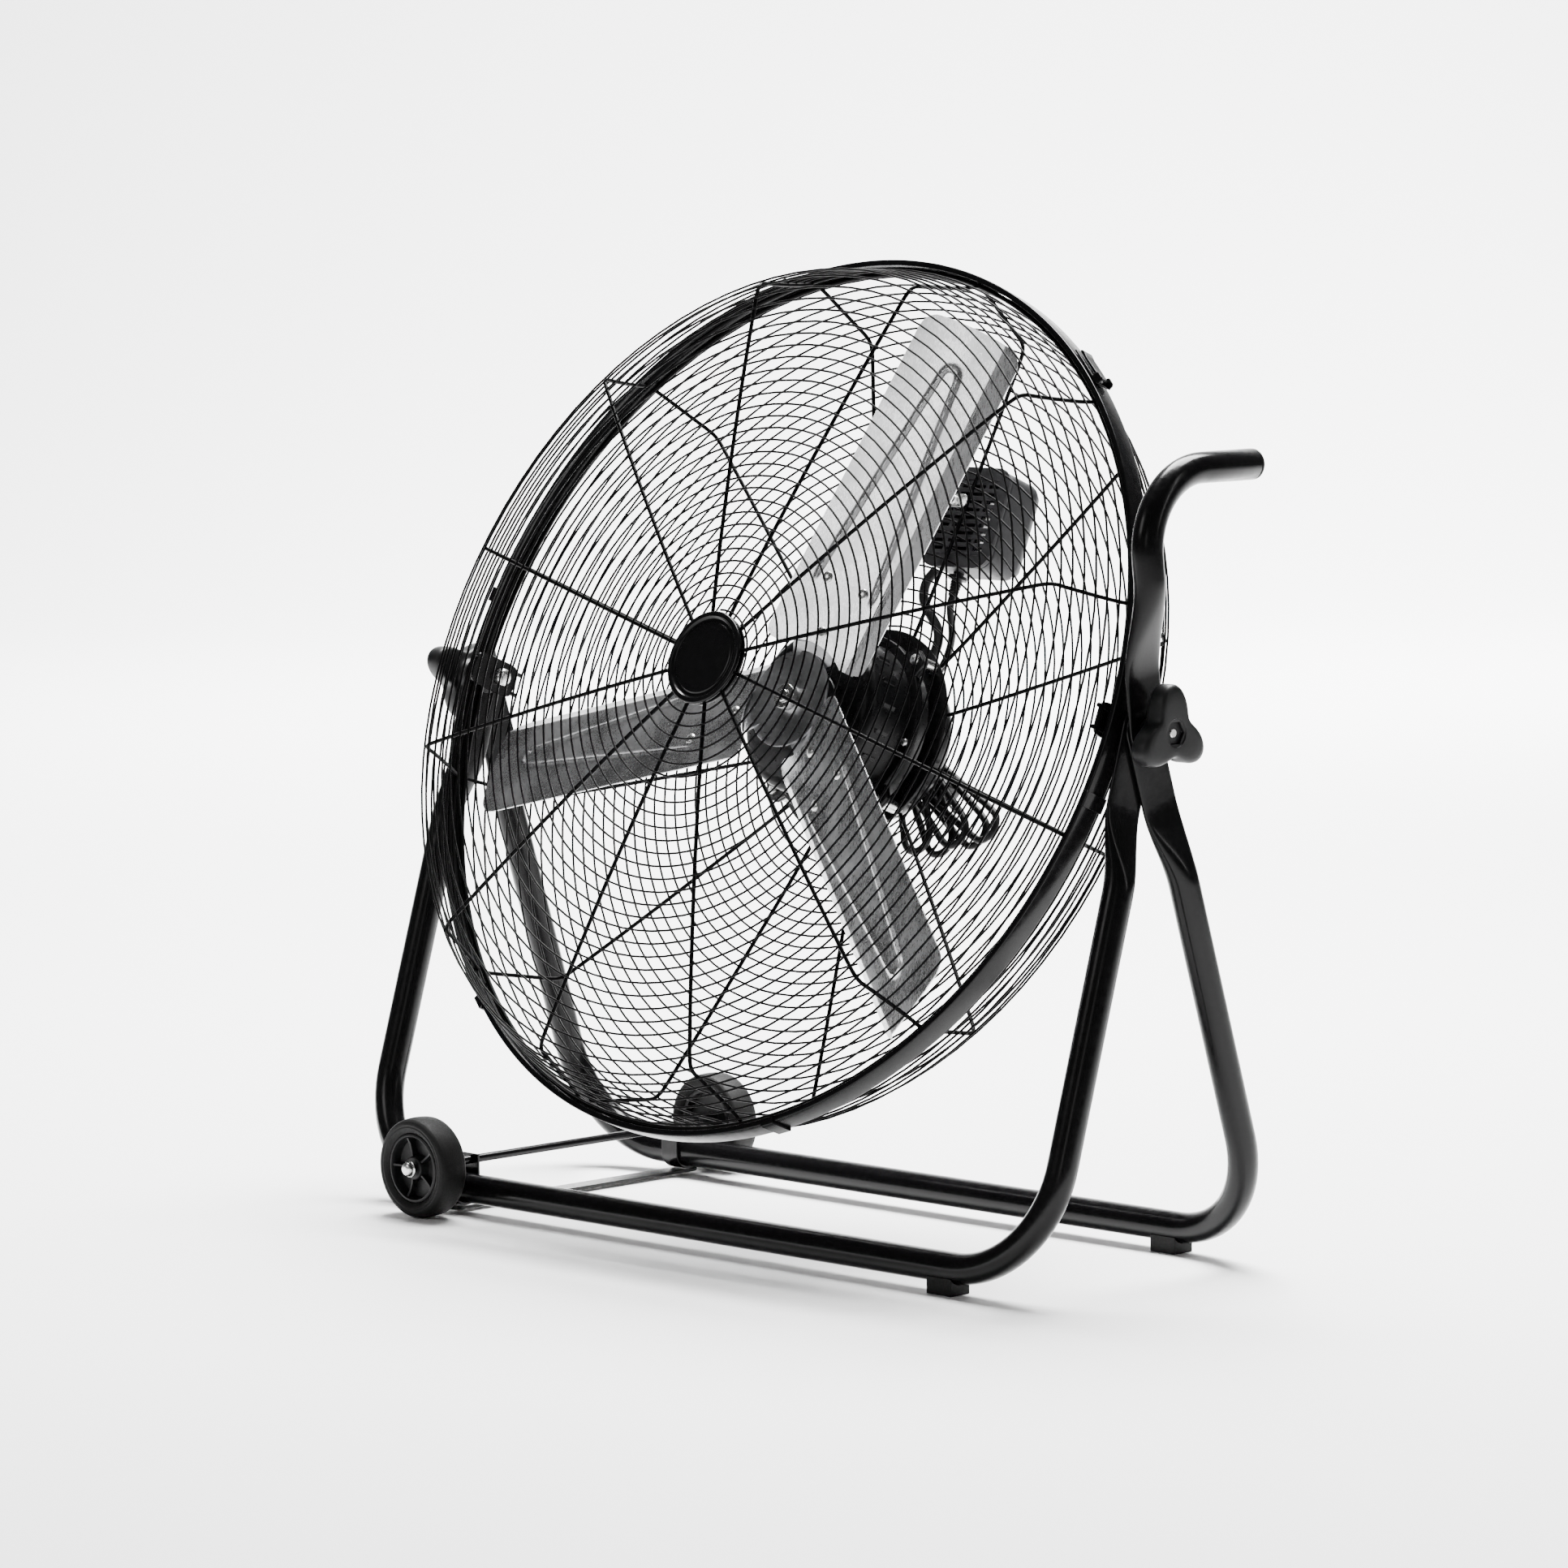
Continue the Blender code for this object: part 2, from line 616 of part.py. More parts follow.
def blade(number, angle, rotor):
    """A pressed sheet blade: concave root round the hub, two root lobes and a rounded tip."""
    radial, chord, out = blade_frame(angle)
    origin = Vector((0.0, BLADE_Y, 0.0))
    columns = 12
    rows = 7
    bm = bmesh.new()
    layers = []
    for side in (-1.0, 1.0):
        grid = []
        for j in range(columns + 1):
            u = -1.0 + 2.0 * j / columns
            t = u * BLADE_HALF_CHORD * math.cos(math.radians(2.0))
            root = math.sqrt(max(SCALLOP_R ** 2 - t ** 2, 0.0))
            root = max(root, 0.0440) if abs(u) < 0.88 else 0.0500
            root = 0.0600 if abs(u) > 0.99 else root
            tip = math.sqrt(BLADE_TIP_R ** 2 - t ** 2)
            tip -= {0: 0.0150, 1: 0.0035}.get(min(j, columns - j), 0.0)
            line = []
            for i in range(rows + 1):
                v = i / rows
                r = root + (tip - root) * v
                line.append(bm.verts.new(origin + radial * r + chord * t + out * (BLADE_HALF_THICK * side)))
            grid.append(line)
        layers.append(grid)
    for grid in layers:
        for j in range(columns):
            for i in range(rows):
                bm.faces.new((grid[j][i], grid[j + 1][i], grid[j + 1][i + 1], grid[j][i + 1]))
    back, front = layers
    edge = [(j, 0) for j in range(columns)] + [(columns, i) for i in range(rows)]
    edge += [(j, rows) for j in range(columns, 0, -1)] + [(0, i) for i in range(rows, 0, -1)]
    for index, (j, i) in enumerate(edge):
        m, n = edge[(index + 1) % len(edge)]
        bm.faces.new((back[j][i], back[m][n], front[m][n], front[j][i]))
    finish("blade_{}".format(number), bm, ALUMINIUM, rotor)


def spider(rotor):
    """The plate that carries the blades: a flat disc with three pitched arms behind the blades."""
    bm = bmesh.new()
    front = BLADE_Y - 0.0004
    rear = BLADE_Y + 0.0026
    turned(bm, [
        (SHAFT_R + 0.0003, front), (0.0470, front), (0.0470, rear), (SHAFT_R + 0.0003, rear),
    ], 36, closed=True)
    plate = finish("blade_spider", bm, ZINC_STEEL, rotor)
    for number, angle in enumerate(BLADE_ANGLES):
        a = math.radians(angle)
        radial, chord, out = blade_frame(angle)
        clockwise = Vector((math.cos(a), 0.0, -math.sin(a)))
        forward = Vector((0.0, -1.0, 0.0))
        loops = []
        for r, half, share in (
            (0.0280, 0.0180, 0.0), (0.0420, 0.0230, 1.0), (0.0580, 0.0270, 1.0),
            (0.1000, 0.0300, 1.0), (0.1270, 0.0280, 1.0), (0.1340, 0.0200, 1.0),
        ):
            across = clockwise.lerp(chord, share).normalized()
            normal = forward.lerp(out, share).normalized()
            middle = Vector((0.0, BLADE_Y + 0.0010, 0.0)) + radial * r
            if share > 0.5:
                middle = Vector((0.0, BLADE_Y, 0.0)) + radial * r - out * (BLADE_HALF_THICK + 0.0014)
            loops.append([
                middle - across * half + normal * 0.0010,
                middle + across * half + normal * 0.0010,
                middle + across * half - normal * 0.0010,
                middle - across * half - normal * 0.0010,
            ])
        arm = bmesh.new()
        loft(arm, loops)
        bmesh.ops.triangulate(arm, faces=arm.faces)
        use_boolean(plate, finish("spider_arm_{}".format(number), arm, ZINC_STEEL, rotor), "UNION")


def shaft_parts(rotor):
    bm = bmesh.new()
    turned(bm, [
        (0.0, -0.0200), (SHAFT_R - 0.0008, -0.0200), (SHAFT_R, -0.0190), (SHAFT_R, 0.1340), (0.0, 0.1340),
    ], 20)
    finish("motor_shaft", bm, ZINC_STEEL, rotor)
    bm = bmesh.new()
    turned(bm, [
        (SHAFT_R + 0.0003, -0.0175), (0.0110, -0.0175), (0.0120, -0.0165),
        (0.0120, -0.0105), (SHAFT_R + 0.0003, -0.0105),
    ], 24, closed=True)
    finish("hub_collar", bm, ZINC_STEEL, rotor)
    bm = bmesh.new()
    turned(bm, [
        (SHAFT_R + 0.0003, 0.0450), (0.0380, 0.0450), (0.0380, 0.0950), (SHAFT_R + 0.0003, 0.0950),
    ], 24, closed=True)
    finish("rotor_core", bm, CORE_STEEL, rotor)


def lugged(radius, angle):
    """Flange radius with four mounting lugs on the diagonals."""
    if radius < 0.0890:
        return radius
    quarter = math.degrees(angle) % 90.0
    return 0.1030 if abs(quarter - 45.0) < 4.5 else radius


def motor(head):
    offset = math.radians(3.75)
    bm = bmesh.new()
    turned(bm, [
        (0.0105, 0.0150), (0.0700, 0.0150), (0.0765, 0.0172), (0.0800, 0.0235), (0.0800, 0.0675),
        (0.0895, 0.0675), (0.0895, 0.0710), (0.0775, 0.0710), (0.0775, 0.0250), (0.0690, 0.0180),
        (0.0160, 0.0180), (0.0160, 0.0268), (0.0133, 0.0268), (0.0133, 0.0180), (0.0105, 0.0180),
    ], 48, closed=True, offset=offset, reach=lugged)
    finish("motor_front_shell", bm, BLACK_PAINT, head)
    bm = bmesh.new()
    turned(bm, [
        (0.0, 0.1400), (0.0680, 0.1400), (0.0745, 0.1360), (0.0775, 0.1280), (0.0775, 0.0748),
        (0.0895, 0.0748), (0.0895, 0.0713), (0.0750, 0.0713), (0.0750, 0.1270), (0.0725, 0.1330),
        (0.0660, 0.1370), (0.0160, 0.1370), (0.0160, 0.1275), (0.0133, 0.1275),
        (0.0133, 0.1365), (0.0, 0.1365),
    ], 48, offset=offset, reach=lugged)
    finish("motor_rear_shell", bm, BLACK_PAINT, head)
    bm = bmesh.new()
    turned(bm, [(0.0812, 0.0925), (0.1030, 0.0925), (0.1030, 0.0955), (0.0812, 0.0955)], 36, closed=True)
    finish("motor_mount_ring", bm, BLACK_PAINT, head)
    bm = bmesh.new()
    turned(bm, [
        (0.0386, 0.0450), (0.0470, 0.0450), (0.0500, 0.0330), (0.0660, 0.0330),
        (0.0690, 0.0450), (0.0742, 0.0450), (0.0742, 0.0950), (0.0690, 0.0950),
        (0.0660, 0.1070), (0.0500, 0.1070), (0.0470, 0.0950), (0.0386, 0.0950),
    ], 24, closed=True)
    finish("motor_stator", bm, COPPER, head)
    for name, low in (("front_bearing", 0.0184), ("rear_bearing", 0.1280)):
        bm = bmesh.new()
        turned(bm, [
            (SHAFT_R + 0.0003, low), (0.0128, low),
            (0.0128, low + 0.0080), (SHAFT_R + 0.0003, low + 0.0080),
        ], 24, closed=True)
        finish(name, bm, ZINC_STEEL, head)


def switch_box(head):
    """Hollow rear housing, its slotted front plate, the speed switch, its knob and the capacitor."""
    x0, x1 = BOX_X
    z0, z1 = BOX_Z
    y0, y1 = BOX_Y
    corner = 0.014
    outline = [
        (x0 + corner, z0), (x1 - corner, z0), (x1, z0 + corner), (x1, z1 - corner),
        (x1 - corner, z1), (x0 + corner, z1), (x0, z1 - corner), (x0, z0 + corner),
    ]
    mid_x = (x0 + x1) / 2.0
    mid_z = (z0 + z1) / 2.0

    def inset(amount):
        share_x = 1.0 - 2.0 * amount / (x1 - x0)
        share_z = 1.0 - 2.0 * amount / (z1 - z0)
        return [(mid_x + (x - mid_x) * share_x, mid_z + (z - mid_z) * share_z) for x, z in outline]

    levels = [
        (0.0120, y1), (0.0, y1 - 0.016), (0.0, y0), (BOX_WALL, y0),
        (BOX_WALL, y1 - 0.0165), (0.0130, y1 - BOX_WALL),
    ]
    bm = bmesh.new()
    loft(bm, [[(x, y, z) for x, z in inset(amount)] for amount, y in levels])
    shell = finish("switch_box", bm, GREY_PLASTIC, head)
    knob_x = 0.0525
    knob_z = 0.2175
    for centre, radius, low, high, axis in (
        ((knob_x, knob_z), 0.0045, 0.144, 0.160, "Y"),
        ((CORD_EXIT[0], CORD_EXIT[1]), 0.0052, 0.160, 0.180, "Z"),
    ):
        drill = bmesh.new()
        rod(drill, centre, radius, axis, low, high)
        use_boolean(shell, finish("box_drill", drill, GREY_PLASTIC, head), "DIFFERENCE")

    bm = bmesh.new()
    extruded(bm, inset(-0.0020), "Y", y0 - 0.0024, y0 - 0.0003)
    finish("switch_plate", bm, BLACK_PAINT, head)

    bm = bmesh.new()
    box(bm, (knob_x - 0.013, 0.1280, knob_z - 0.013), (knob_x + 0.013, 0.1485, knob_z + 0.013))
    switch = finish("speed_switch", bm, BLACK_PLASTIC, head)
    bm = bmesh.new()
    rod(bm, (knob_x, knob_z), 0.0030, "Y", 0.1400, 0.1620, steps=12)
    use_boolean(switch, finish("switch_spindle", bm, BLACK_PLASTIC, head), "UNION")

    axis = axis_empty("speed_knob_axis", (knob_x, y1 + 0.0003, knob_z), head)
    bm = bmesh.new()
    turned(bm, [
        (0.0, 0.0110), (0.0033, 0.0110), (0.0033, 0.0), (0.0170, 0.0), (0.0170, 0.0030),
        (0.0130, 0.0050), (0.0120, 0.0160), (0.0105, 0.0175), (0.0, 0.0175),
    ], 24)
    finish("speed_knob", bm, BLACK_PLASTIC, axis)

    bm = bmesh.new()
    rod(bm, (0.0750, 0.1120), 0.0125, "Z", 0.1850, 0.2350, steps=20)
    finish("capacitor", bm, ALUMINIUM, head)

    bm = bmesh.new()
    loops = []
    for y in (0.0780, 0.0796):
        loop = []
        for i in range(20):
            a = 2.0 * math.pi * i / 20
            x = math.copysign(0.0090, math.cos(a)) + 0.0065 * math.cos(a)
            loop.append((0.0500 + x, y, 0.2280 + 0.0065 * math.sin(a)))
        loops.append(loop)
    loft(bm, loops)
    finish("box_clamp_washer", bm, ZINC_STEEL, head)


def smooth_path(points, count):
    """Even points along a Catmull-Rom curve through the route's own points."""
    given = [Vector(p) for p in points]
    ends = [given[0] * 2.0 - given[1]] + given + [given[-1] * 2.0 - given[-2]]
    fine = []
    for i in range(1, len(ends) - 2):
        a, b, c, d = ends[i - 1:i + 3]
        for step in range(20):
            t = step / 20.0
            fine.append(0.5 * (
                b * 2.0 + (c - a) * t + (a * 2.0 - b * 5.0 + c * 4.0 - d) * t ** 2
                + (b * 3.0 - a - c * 3.0 + d) * t ** 3
            ))
    fine.append(given[-1])
    lengths = [0.0]
    for i in range(1, len(fine)):
        lengths.append(lengths[-1] + (fine[i] - fine[i - 1]).length)
    result = []
    at = 0
    for i in range(count):
        wanted = lengths[-1] * i / (count - 1)
        while at < len(fine) - 2 and lengths[at + 1] < wanted:
            at += 1
        span = lengths[at + 1] - lengths[at]
        share = (wanted - lengths[at]) / span if span > 0.0 else 0.0
        result.append(fine[at].lerp(fine[at + 1], share))
    return result


def tube_curve(name, points, radius, surface, parent):
    data = bpy.data.curves.new(name, "CURVE")
    data.dimensions = "3D"
    data.bevel_depth = radius
    data.bevel_resolution = 2
    data.use_fill_caps = True
    spline = data.splines.new("POLY")
    spline.points.add(len(points) - 1)
    for target, point in zip(spline.points, points):
        target.co = (*point, 1.0)
    data.materials.append(surface)
    made = bpy.data.objects.new(name, data)
    bpy.context.scene.collection.objects.link(made)
    made.parent = parent
    return made


def hank_parts(head):
    """The folded spare length of the power cord, its tie and its plug, behind the motor."""
    along = Vector((math.cos(HANK_ANGLE), 0.0, math.sin(HANK_ANGLE)))
    centre = Vector(HANK_CENTRE)
    axis = axis_empty("hank_axis", HANK_CENTRE, head)
    axis.rotation_euler = (0.0, -HANK_ANGLE, 0.0)
    end = HANK_LENGTH / 2.0 - HANK_WIDTH / 2.0
    outline = []
    for i in range(13):
        a = math.pi / 2.0 - math.pi * i / 12
        outline.append((end + HANK_WIDTH / 2.0 * math.cos(a), HANK_WIDTH / 2.0 * math.sin(a)))
    for i in range(13):
        a = -math.pi / 2.0 - math.pi * i / 12
        outline.append((-end + HANK_WIDTH / 2.0 * math.cos(a), HANK_WIDTH / 2.0 * math.sin(a)))
    bm = bmesh.new()
    extruded(bm, outline, "Y", -HANK_THICK / 2.0, HANK_THICK / 2.0)
    finish("cord_hank", bm, RUBBER, axis)

    loops = []
    for x, gap in ((-0.004, 0.0004), (0.004, 0.0004), (0.004, 0.0018), (-0.004, 0.0018)):
        y = HANK_THICK / 2.0 + gap
        z = HANK_WIDTH / 2.0 + gap
        loops.append([(x, -y, -z), (x, y, -z), (x, y, z), (x, -y, z)])
    bm = bmesh.new()
    loft(bm, loops, closed=True)
    finish("cord_tie", bm, BLACK_PLASTIC, axis)

    inward = Vector((0.34, 0.0, -0.94)).normalized()
    near = centre - along * end
    cord_end = near - inward * (HANK_WIDTH / 2.0 + 0.0006)
    route = [
        CORD_EXIT, (0.0390, 0.1200, 0.1400), (0.0388, 0.1235, 0.1310), (0.0350, 0.1370, 0.1140),
        (0.0250, 0.1480, 0.0960), (0.0120, 0.1540, 0.0760), (0.0040, 0.1560, 0.0560),
        tuple(cord_end - inward * 0.022), tuple(cord_end),
    ]
    tube_curve("power_cord", smooth_path(route, 18), CORD_R, RUBBER, head)

    bm = bmesh.new()
    turned(bm, [
        (0.0, 0.0), (0.0046, 0.0), (0.0060, 0.0160), (0.0090, 0.0162), (0.0090, 0.0193),
        (0.0050, 0.0194), (0.0050, 0.0240), (0.0, 0.0240),
    ], 20)
    gland = finish("cord_gland", bm, BLACK_PLASTIC, head)
    gland.rotation_euler = (math.pi / 2.0, 0.0, 0.0)
    gland.location = (CORD_EXIT[0], CORD_EXIT[1], CORD_EXIT[2] + 0.0005)

    bm = bmesh.new()
    loops = []
    for x, share in ((-0.0360, 0.45), (-0.0300, 0.50), (-0.0160, 0.85), (-0.0120, 1.0), (0.0, 1.0)):
        loops.append([(x, 0.0125 * share * a, 0.0145 * share * b) for a, b in oval(1.0, 1.0, 0.6)])
    loft(bm, loops)
    plug = finish("cord_plug", bm, BLACK_PLASTIC, axis)
    prongs = (
        (-0.0040, -0.0063, 0.0032, 0.0008), (-0.0040, 0.0063, 0.0032, 0.0008), (0.0060, 0.0, 0.0024, 0.0024),
    )
    for y, z, half_y, half_z in prongs:
        prong = bmesh.new()
        box(prong, (-0.002, y - half_y, z - half_z), (0.018, y + half_y, z + half_z))
        use_boolean(plug, finish("plug_prong", prong, BLACK_PLASTIC, plug), "UNION")
    plug.location = (-0.0180, HANK_THICK / 2.0 + 0.0129, 0.0)


def motor_lead(head):
    route = [
        (0.0185, 0.1100, 0.1692), (0.0100, 0.1105, 0.1560), (0.0120, 0.1110, 0.1400),
        (0.0250, 0.1115, 0.1260), (0.0400, 0.1115, 0.1120), (0.0460, 0.1110, 0.0960),
        (0.0420, 0.1100, 0.0695),
    ]
    tube_curve("motor_lead", smooth_path(route, 14), 0.0048, BLACK_PLASTIC, head)


def main():
    stand()
    knob("right_tilt_knob", 1.0)
    knob("left_tilt_knob", -1.0)
    head = axis_empty("head_tilt_axis", (0.0, 0.0, PIVOT_Z))
    head.rotation_euler = (-TILT, 0.0, 0.0)
    pivot("right", 1.0, head)
    pivot("left", -1.0, head)
    guard("front_guard", front_guard_stations(), head)
    guard("rear_guard", REAR_GUARD_STATIONS, head)
    band_parts(head)
    cap_parts(head)
    rotor = axis_empty("blade_spin_axis", (0.0, 0.0, 0.0), head)
    for number, angle in enumerate(BLADE_ANGLES, 1):
        blade(number, angle, rotor)
    spider(rotor)
    shaft_parts(rotor)
    motor(head)
    switch_box(head)
    motor_lead(head)
    hank_parts(head)


main()
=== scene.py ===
"""Visual model of a tilting high-velocity floor fan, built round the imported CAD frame."""

import json
import math

import bmesh
import bpy
from mathutils import Matrix, Vector

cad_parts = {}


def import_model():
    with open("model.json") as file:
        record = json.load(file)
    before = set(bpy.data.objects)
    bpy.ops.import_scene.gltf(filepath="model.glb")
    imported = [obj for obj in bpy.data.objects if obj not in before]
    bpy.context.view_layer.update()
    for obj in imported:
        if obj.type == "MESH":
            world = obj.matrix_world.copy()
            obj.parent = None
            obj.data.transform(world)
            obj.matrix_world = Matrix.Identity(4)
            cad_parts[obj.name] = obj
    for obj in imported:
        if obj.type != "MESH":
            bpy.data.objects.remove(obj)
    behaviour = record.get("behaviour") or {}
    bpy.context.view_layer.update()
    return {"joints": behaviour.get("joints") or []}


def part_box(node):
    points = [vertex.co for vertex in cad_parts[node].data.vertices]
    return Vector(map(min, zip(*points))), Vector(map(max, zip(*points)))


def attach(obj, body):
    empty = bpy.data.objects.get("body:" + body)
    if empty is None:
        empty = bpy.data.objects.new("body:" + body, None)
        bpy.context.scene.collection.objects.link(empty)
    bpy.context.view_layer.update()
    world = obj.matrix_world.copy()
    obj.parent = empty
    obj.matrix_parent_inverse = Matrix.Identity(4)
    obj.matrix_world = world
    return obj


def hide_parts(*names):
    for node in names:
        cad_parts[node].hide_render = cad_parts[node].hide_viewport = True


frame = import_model()
joints = {joint["name"]: joint for joint in frame["joints"]}

# The head frame: origin on the tilt axis, +Y towards the motor.
PIVOT = Vector(joints["head_tilt"]["pos_m"])
HEAD_Y = Vector(joints["blade_spin"]["axis"]).normalized()
HEAD_Z = Vector((1.0, 0.0, 0.0)).cross(HEAD_Y)
HEAD = Matrix((
    (1.0, HEAD_Y.x, HEAD_Z.x, PIVOT.x),
    (0.0, HEAD_Y.y, HEAD_Z.y, PIVOT.y),
    (0.0, HEAD_Y.z, HEAD_Z.z, PIVOT.z),
    (0.0, 0.0, 0.0, 1.0),
))
WORLD = Matrix.Identity(4)
X = Vector((1.0, 0.0, 0.0))
Y = Vector((0.0, 1.0, 0.0))
Z = Vector((0.0, 0.0, 1.0))
MIDDLE = Vector((0.0, 0.0, 0.0))


# ---------------------------------------------------------------- camera

def make_camera():
    """The photograph's view, solved from it: 154 mm lens, standing off the handle side."""
    data = bpy.data.cameras.new("camera")
    data.sensor_width = 36.0
    data.lens = 154.3
    data.clip_start = 0.05
    data.clip_end = 60.0
    camera = bpy.data.objects.new("camera", data)
    bpy.context.scene.collection.objects.link(camera)
    yaw = math.radians(45.887)
    pitch = math.radians(5.949)
    roll = math.radians(-0.608)
    ahead = Vector((-math.sin(yaw) * math.cos(pitch), math.cos(yaw) * math.cos(pitch), -math.sin(pitch)))
    right = Vector((math.cos(yaw), math.sin(yaw), 0.0))
    up = right.cross(ahead)
    right_r = right * math.cos(roll) + up * math.sin(roll)
    up_r = up * math.cos(roll) - right * math.sin(roll)
    rows = Matrix((right_r, up_r, -ahead)).transposed().to_4x4()
    rows.translation = Vector((4.4255, -4.3071, 1.0603))
    camera.matrix_world = rows
    bpy.context.scene.camera = camera


make_camera()


# ---------------------------------------------------------------- materials

def shader_of(name):
    made = bpy.data.materials.new(name)
    made.use_nodes = True
    tree = made.node_tree
    return made, tree, tree.nodes["Principled BSDF"]


def noise(tree, scale, detail=3.0, stretch=(1.0, 1.0, 1.0), roughness=0.5):
    """Noise in object space, in metres, stretched per axis."""
    coordinates = tree.nodes.new("ShaderNodeTexCoord")
    mapping = tree.nodes.new("ShaderNodeMapping")
    mapping.inputs["Scale"].default_value = stretch
    texture = tree.nodes.new("ShaderNodeTexNoise")
    texture.inputs["Scale"].default_value = scale
    texture.inputs["Detail"].default_value = detail
    texture.inputs["Roughness"].default_value = roughness
    tree.links.new(coordinates.outputs["Object"], mapping.inputs["Vector"])
    tree.links.new(mapping.outputs["Vector"], texture.inputs["Vector"])
    return texture.outputs["Fac"]


def ramp(tree, value, low, high, start=0.35, end=0.65):
    """Maps a 0 to 1 value onto a range of numbers."""
    made = tree.nodes.new("ShaderNodeMapRange")
    made.inputs["From Min"].default_value = start
    made.inputs["From Max"].default_value = end
    made.inputs["To Min"].default_value = low
    made.inputs["To Max"].default_value = high
    tree.links.new(value, made.inputs["Value"])
    return made.outputs["Result"]


def colours(tree, value, first, second, start=0.35, end=0.65):
    made = tree.nodes.new("ShaderNodeValToRGB")
    made.color_ramp.elements[0].position = start
    made.color_ramp.elements[0].color = (*first, 1.0)
    made.color_ramp.elements[1].position = end
    made.color_ramp.elements[1].color = (*second, 1.0)
    tree.links.new(value, made.inputs["Fac"])
    return made.outputs["Color"]


def bump(tree, shader, heights):
    """heights is a list of (value, strength, distance) laid on each other."""
    normal = None
    for value, strength, distance in heights:
        node = tree.nodes.new("ShaderNodeBump")
        node.inputs["Strength"].default_value = strength
        node.inputs["Distance"].default_value = distance
        tree.links.new(value, node.inputs["Height"])
        if normal is not None:
            tree.links.new(normal, node.inputs["Normal"])
        normal = node.outputs["Normal"]
    tree.links.new(normal, shader.inputs["Normal"])


def powder_coat(name, base, rough_low, rough_high, coat, specular):
    """Smooth black stove enamel: fine orange peel, slight dust in the roughness."""
    made, tree, shader = shader_of(name)
    cloud = noise(tree, 14.0, 4.0)
    tree.links.new(colours(tree, cloud, base, tuple(c * 1.5 for c in base)), shader.inputs["Base Color"])
    dust = noise(tree, 160.0, 6.0)
    tree.links.new(ramp(tree, dust, rough_low, rough_high), shader.inputs["Roughness"])
    shader.inputs["Coat Weight"].default_value = coat
    shader.inputs["Coat Roughness"].default_value = 0.12
    shader.inputs["Specular IOR Level"].default_value = specular
    bump(tree, shader, [(noise(tree, 420.0, 2.0), 0.10, 0.0004), (noise(tree, 60.0, 2.0), 0.05, 0.0010)])
    return made


def sheet_metal(name, base, rough_low, rough_high, stretch, streak):
    """Rolled or plated metal with fine streaks along one axis, smudges and faint scratches."""
    made, tree, shader = shader_of(name)
    shader.inputs["Metallic"].default_value = 1.0
    lines = noise(tree, 900.0, 4.0, stretch, 0.6)
    cloud = noise(tree, 22.0, 5.0)
    tree.links.new(
        colours(tree, cloud, tuple(c * 0.86 for c in base), base, 0.3, 0.7), shader.inputs["Base Color"],
    )
    mix = tree.nodes.new("ShaderNodeMath")
    mix.operation = "ADD"
    tree.links.new(ramp(tree, lines, -0.05, 0.05), mix.inputs[0])
    tree.links.new(ramp(tree, cloud, rough_low, rough_high), mix.inputs[1])
    tree.links.new(mix.outputs["Value"], shader.inputs["Roughness"])
    bump(tree, shader, [(lines, streak, 0.0002), (noise(tree, 9.0, 3.0), 0.10, 0.004)])
    return made


def moulded(name, base, rough_low, rough_high, grain, depth, specular=0.14):
    """Moulded plastic or rubber with a fine sparked grain."""
    made, tree, shader = shader_of(name)
    cloud = noise(tree, 35.0, 4.0)
    tree.links.new(colours(tree, cloud, base, tuple(c * 1.6 for c in base)), shader.inputs["Base Color"])
    fine = noise(tree, grain, 4.0)
    tree.links.new(ramp(tree, fine, rough_low, rough_high), shader.inputs["Roughness"])
    shader.inputs["Specular IOR Level"].default_value = specular
    bump(tree, shader, [(fine, depth, 0.0004)])
    return made


PAINT = powder_coat("gloss_black_enamel", (0.0022, 0.0022, 0.0024), 0.17, 0.27, 0.06, 0.13)
WIRE = powder_coat("coated_wire", (0.0014, 0.0014, 0.0015), 0.30, 0.42, 0.0, 0.04)
SHELL = powder_coat("motor_enamel", (0.0022, 0.0022, 0.0024), 0.26, 0.38, 0.0, 0.14)
BLADE = sheet_metal("rolled_aluminium", (0.80, 0.80, 0.81), 0.24, 0.34, (1.0, 1.0, 0.03), 0.10)
ZINC = sheet_metal("bright_zinc", (0.74, 0.74, 0.73), 0.20, 0.34, (1.0, 1.0, 1.0), 0.06)
STEEL = sheet_metal("cold_rolled_steel", (0.42, 0.42, 0.43), 0.30, 0.42, (0.05, 1.0, 1.0), 0.06)
RUBBER = moulded("moulded_rubber", (0.0050, 0.0050, 0.0050), 0.50, 0.72, 900.0, 0.22)
PLASTIC = moulded("black_nylon", (0.0040, 0.0040, 0.0042), 0.34, 0.50, 1400.0, 0.18, 0.20)
GREY = moulded("grey_housing", (0.020, 0.020, 0.021), 0.40, 0.56, 1200.0, 0.22)
CORD = moulded("cord_sheath", (0.0050, 0.0050, 0.0052), 0.34, 0.46, 700.0, 0.10)
SLEEVE = moulded("woven_sleeve", (0.010, 0.010, 0.010), 0.5, 0.7, 600.0, 0.5)
COPPER = sheet_metal("enamelled_copper", (0.70, 0.34, 0.20), 0.25, 0.4, (1.0, 1.0, 1.0), 0.2)
CORE = sheet_metal("laminated_core", (0.30, 0.30, 0.31), 0.35, 0.5, (1.0, 0.2, 1.0), 0.2)


# ---------------------------------------------------------------- mesh helpers

def finish_piece(made, surface, body, stands_for=()):
    made.data.materials.append(surface)
    bpy.context.scene.collection.objects.link(made)
    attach(made, body)
    if stands_for:
        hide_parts(*stands_for)
    return made


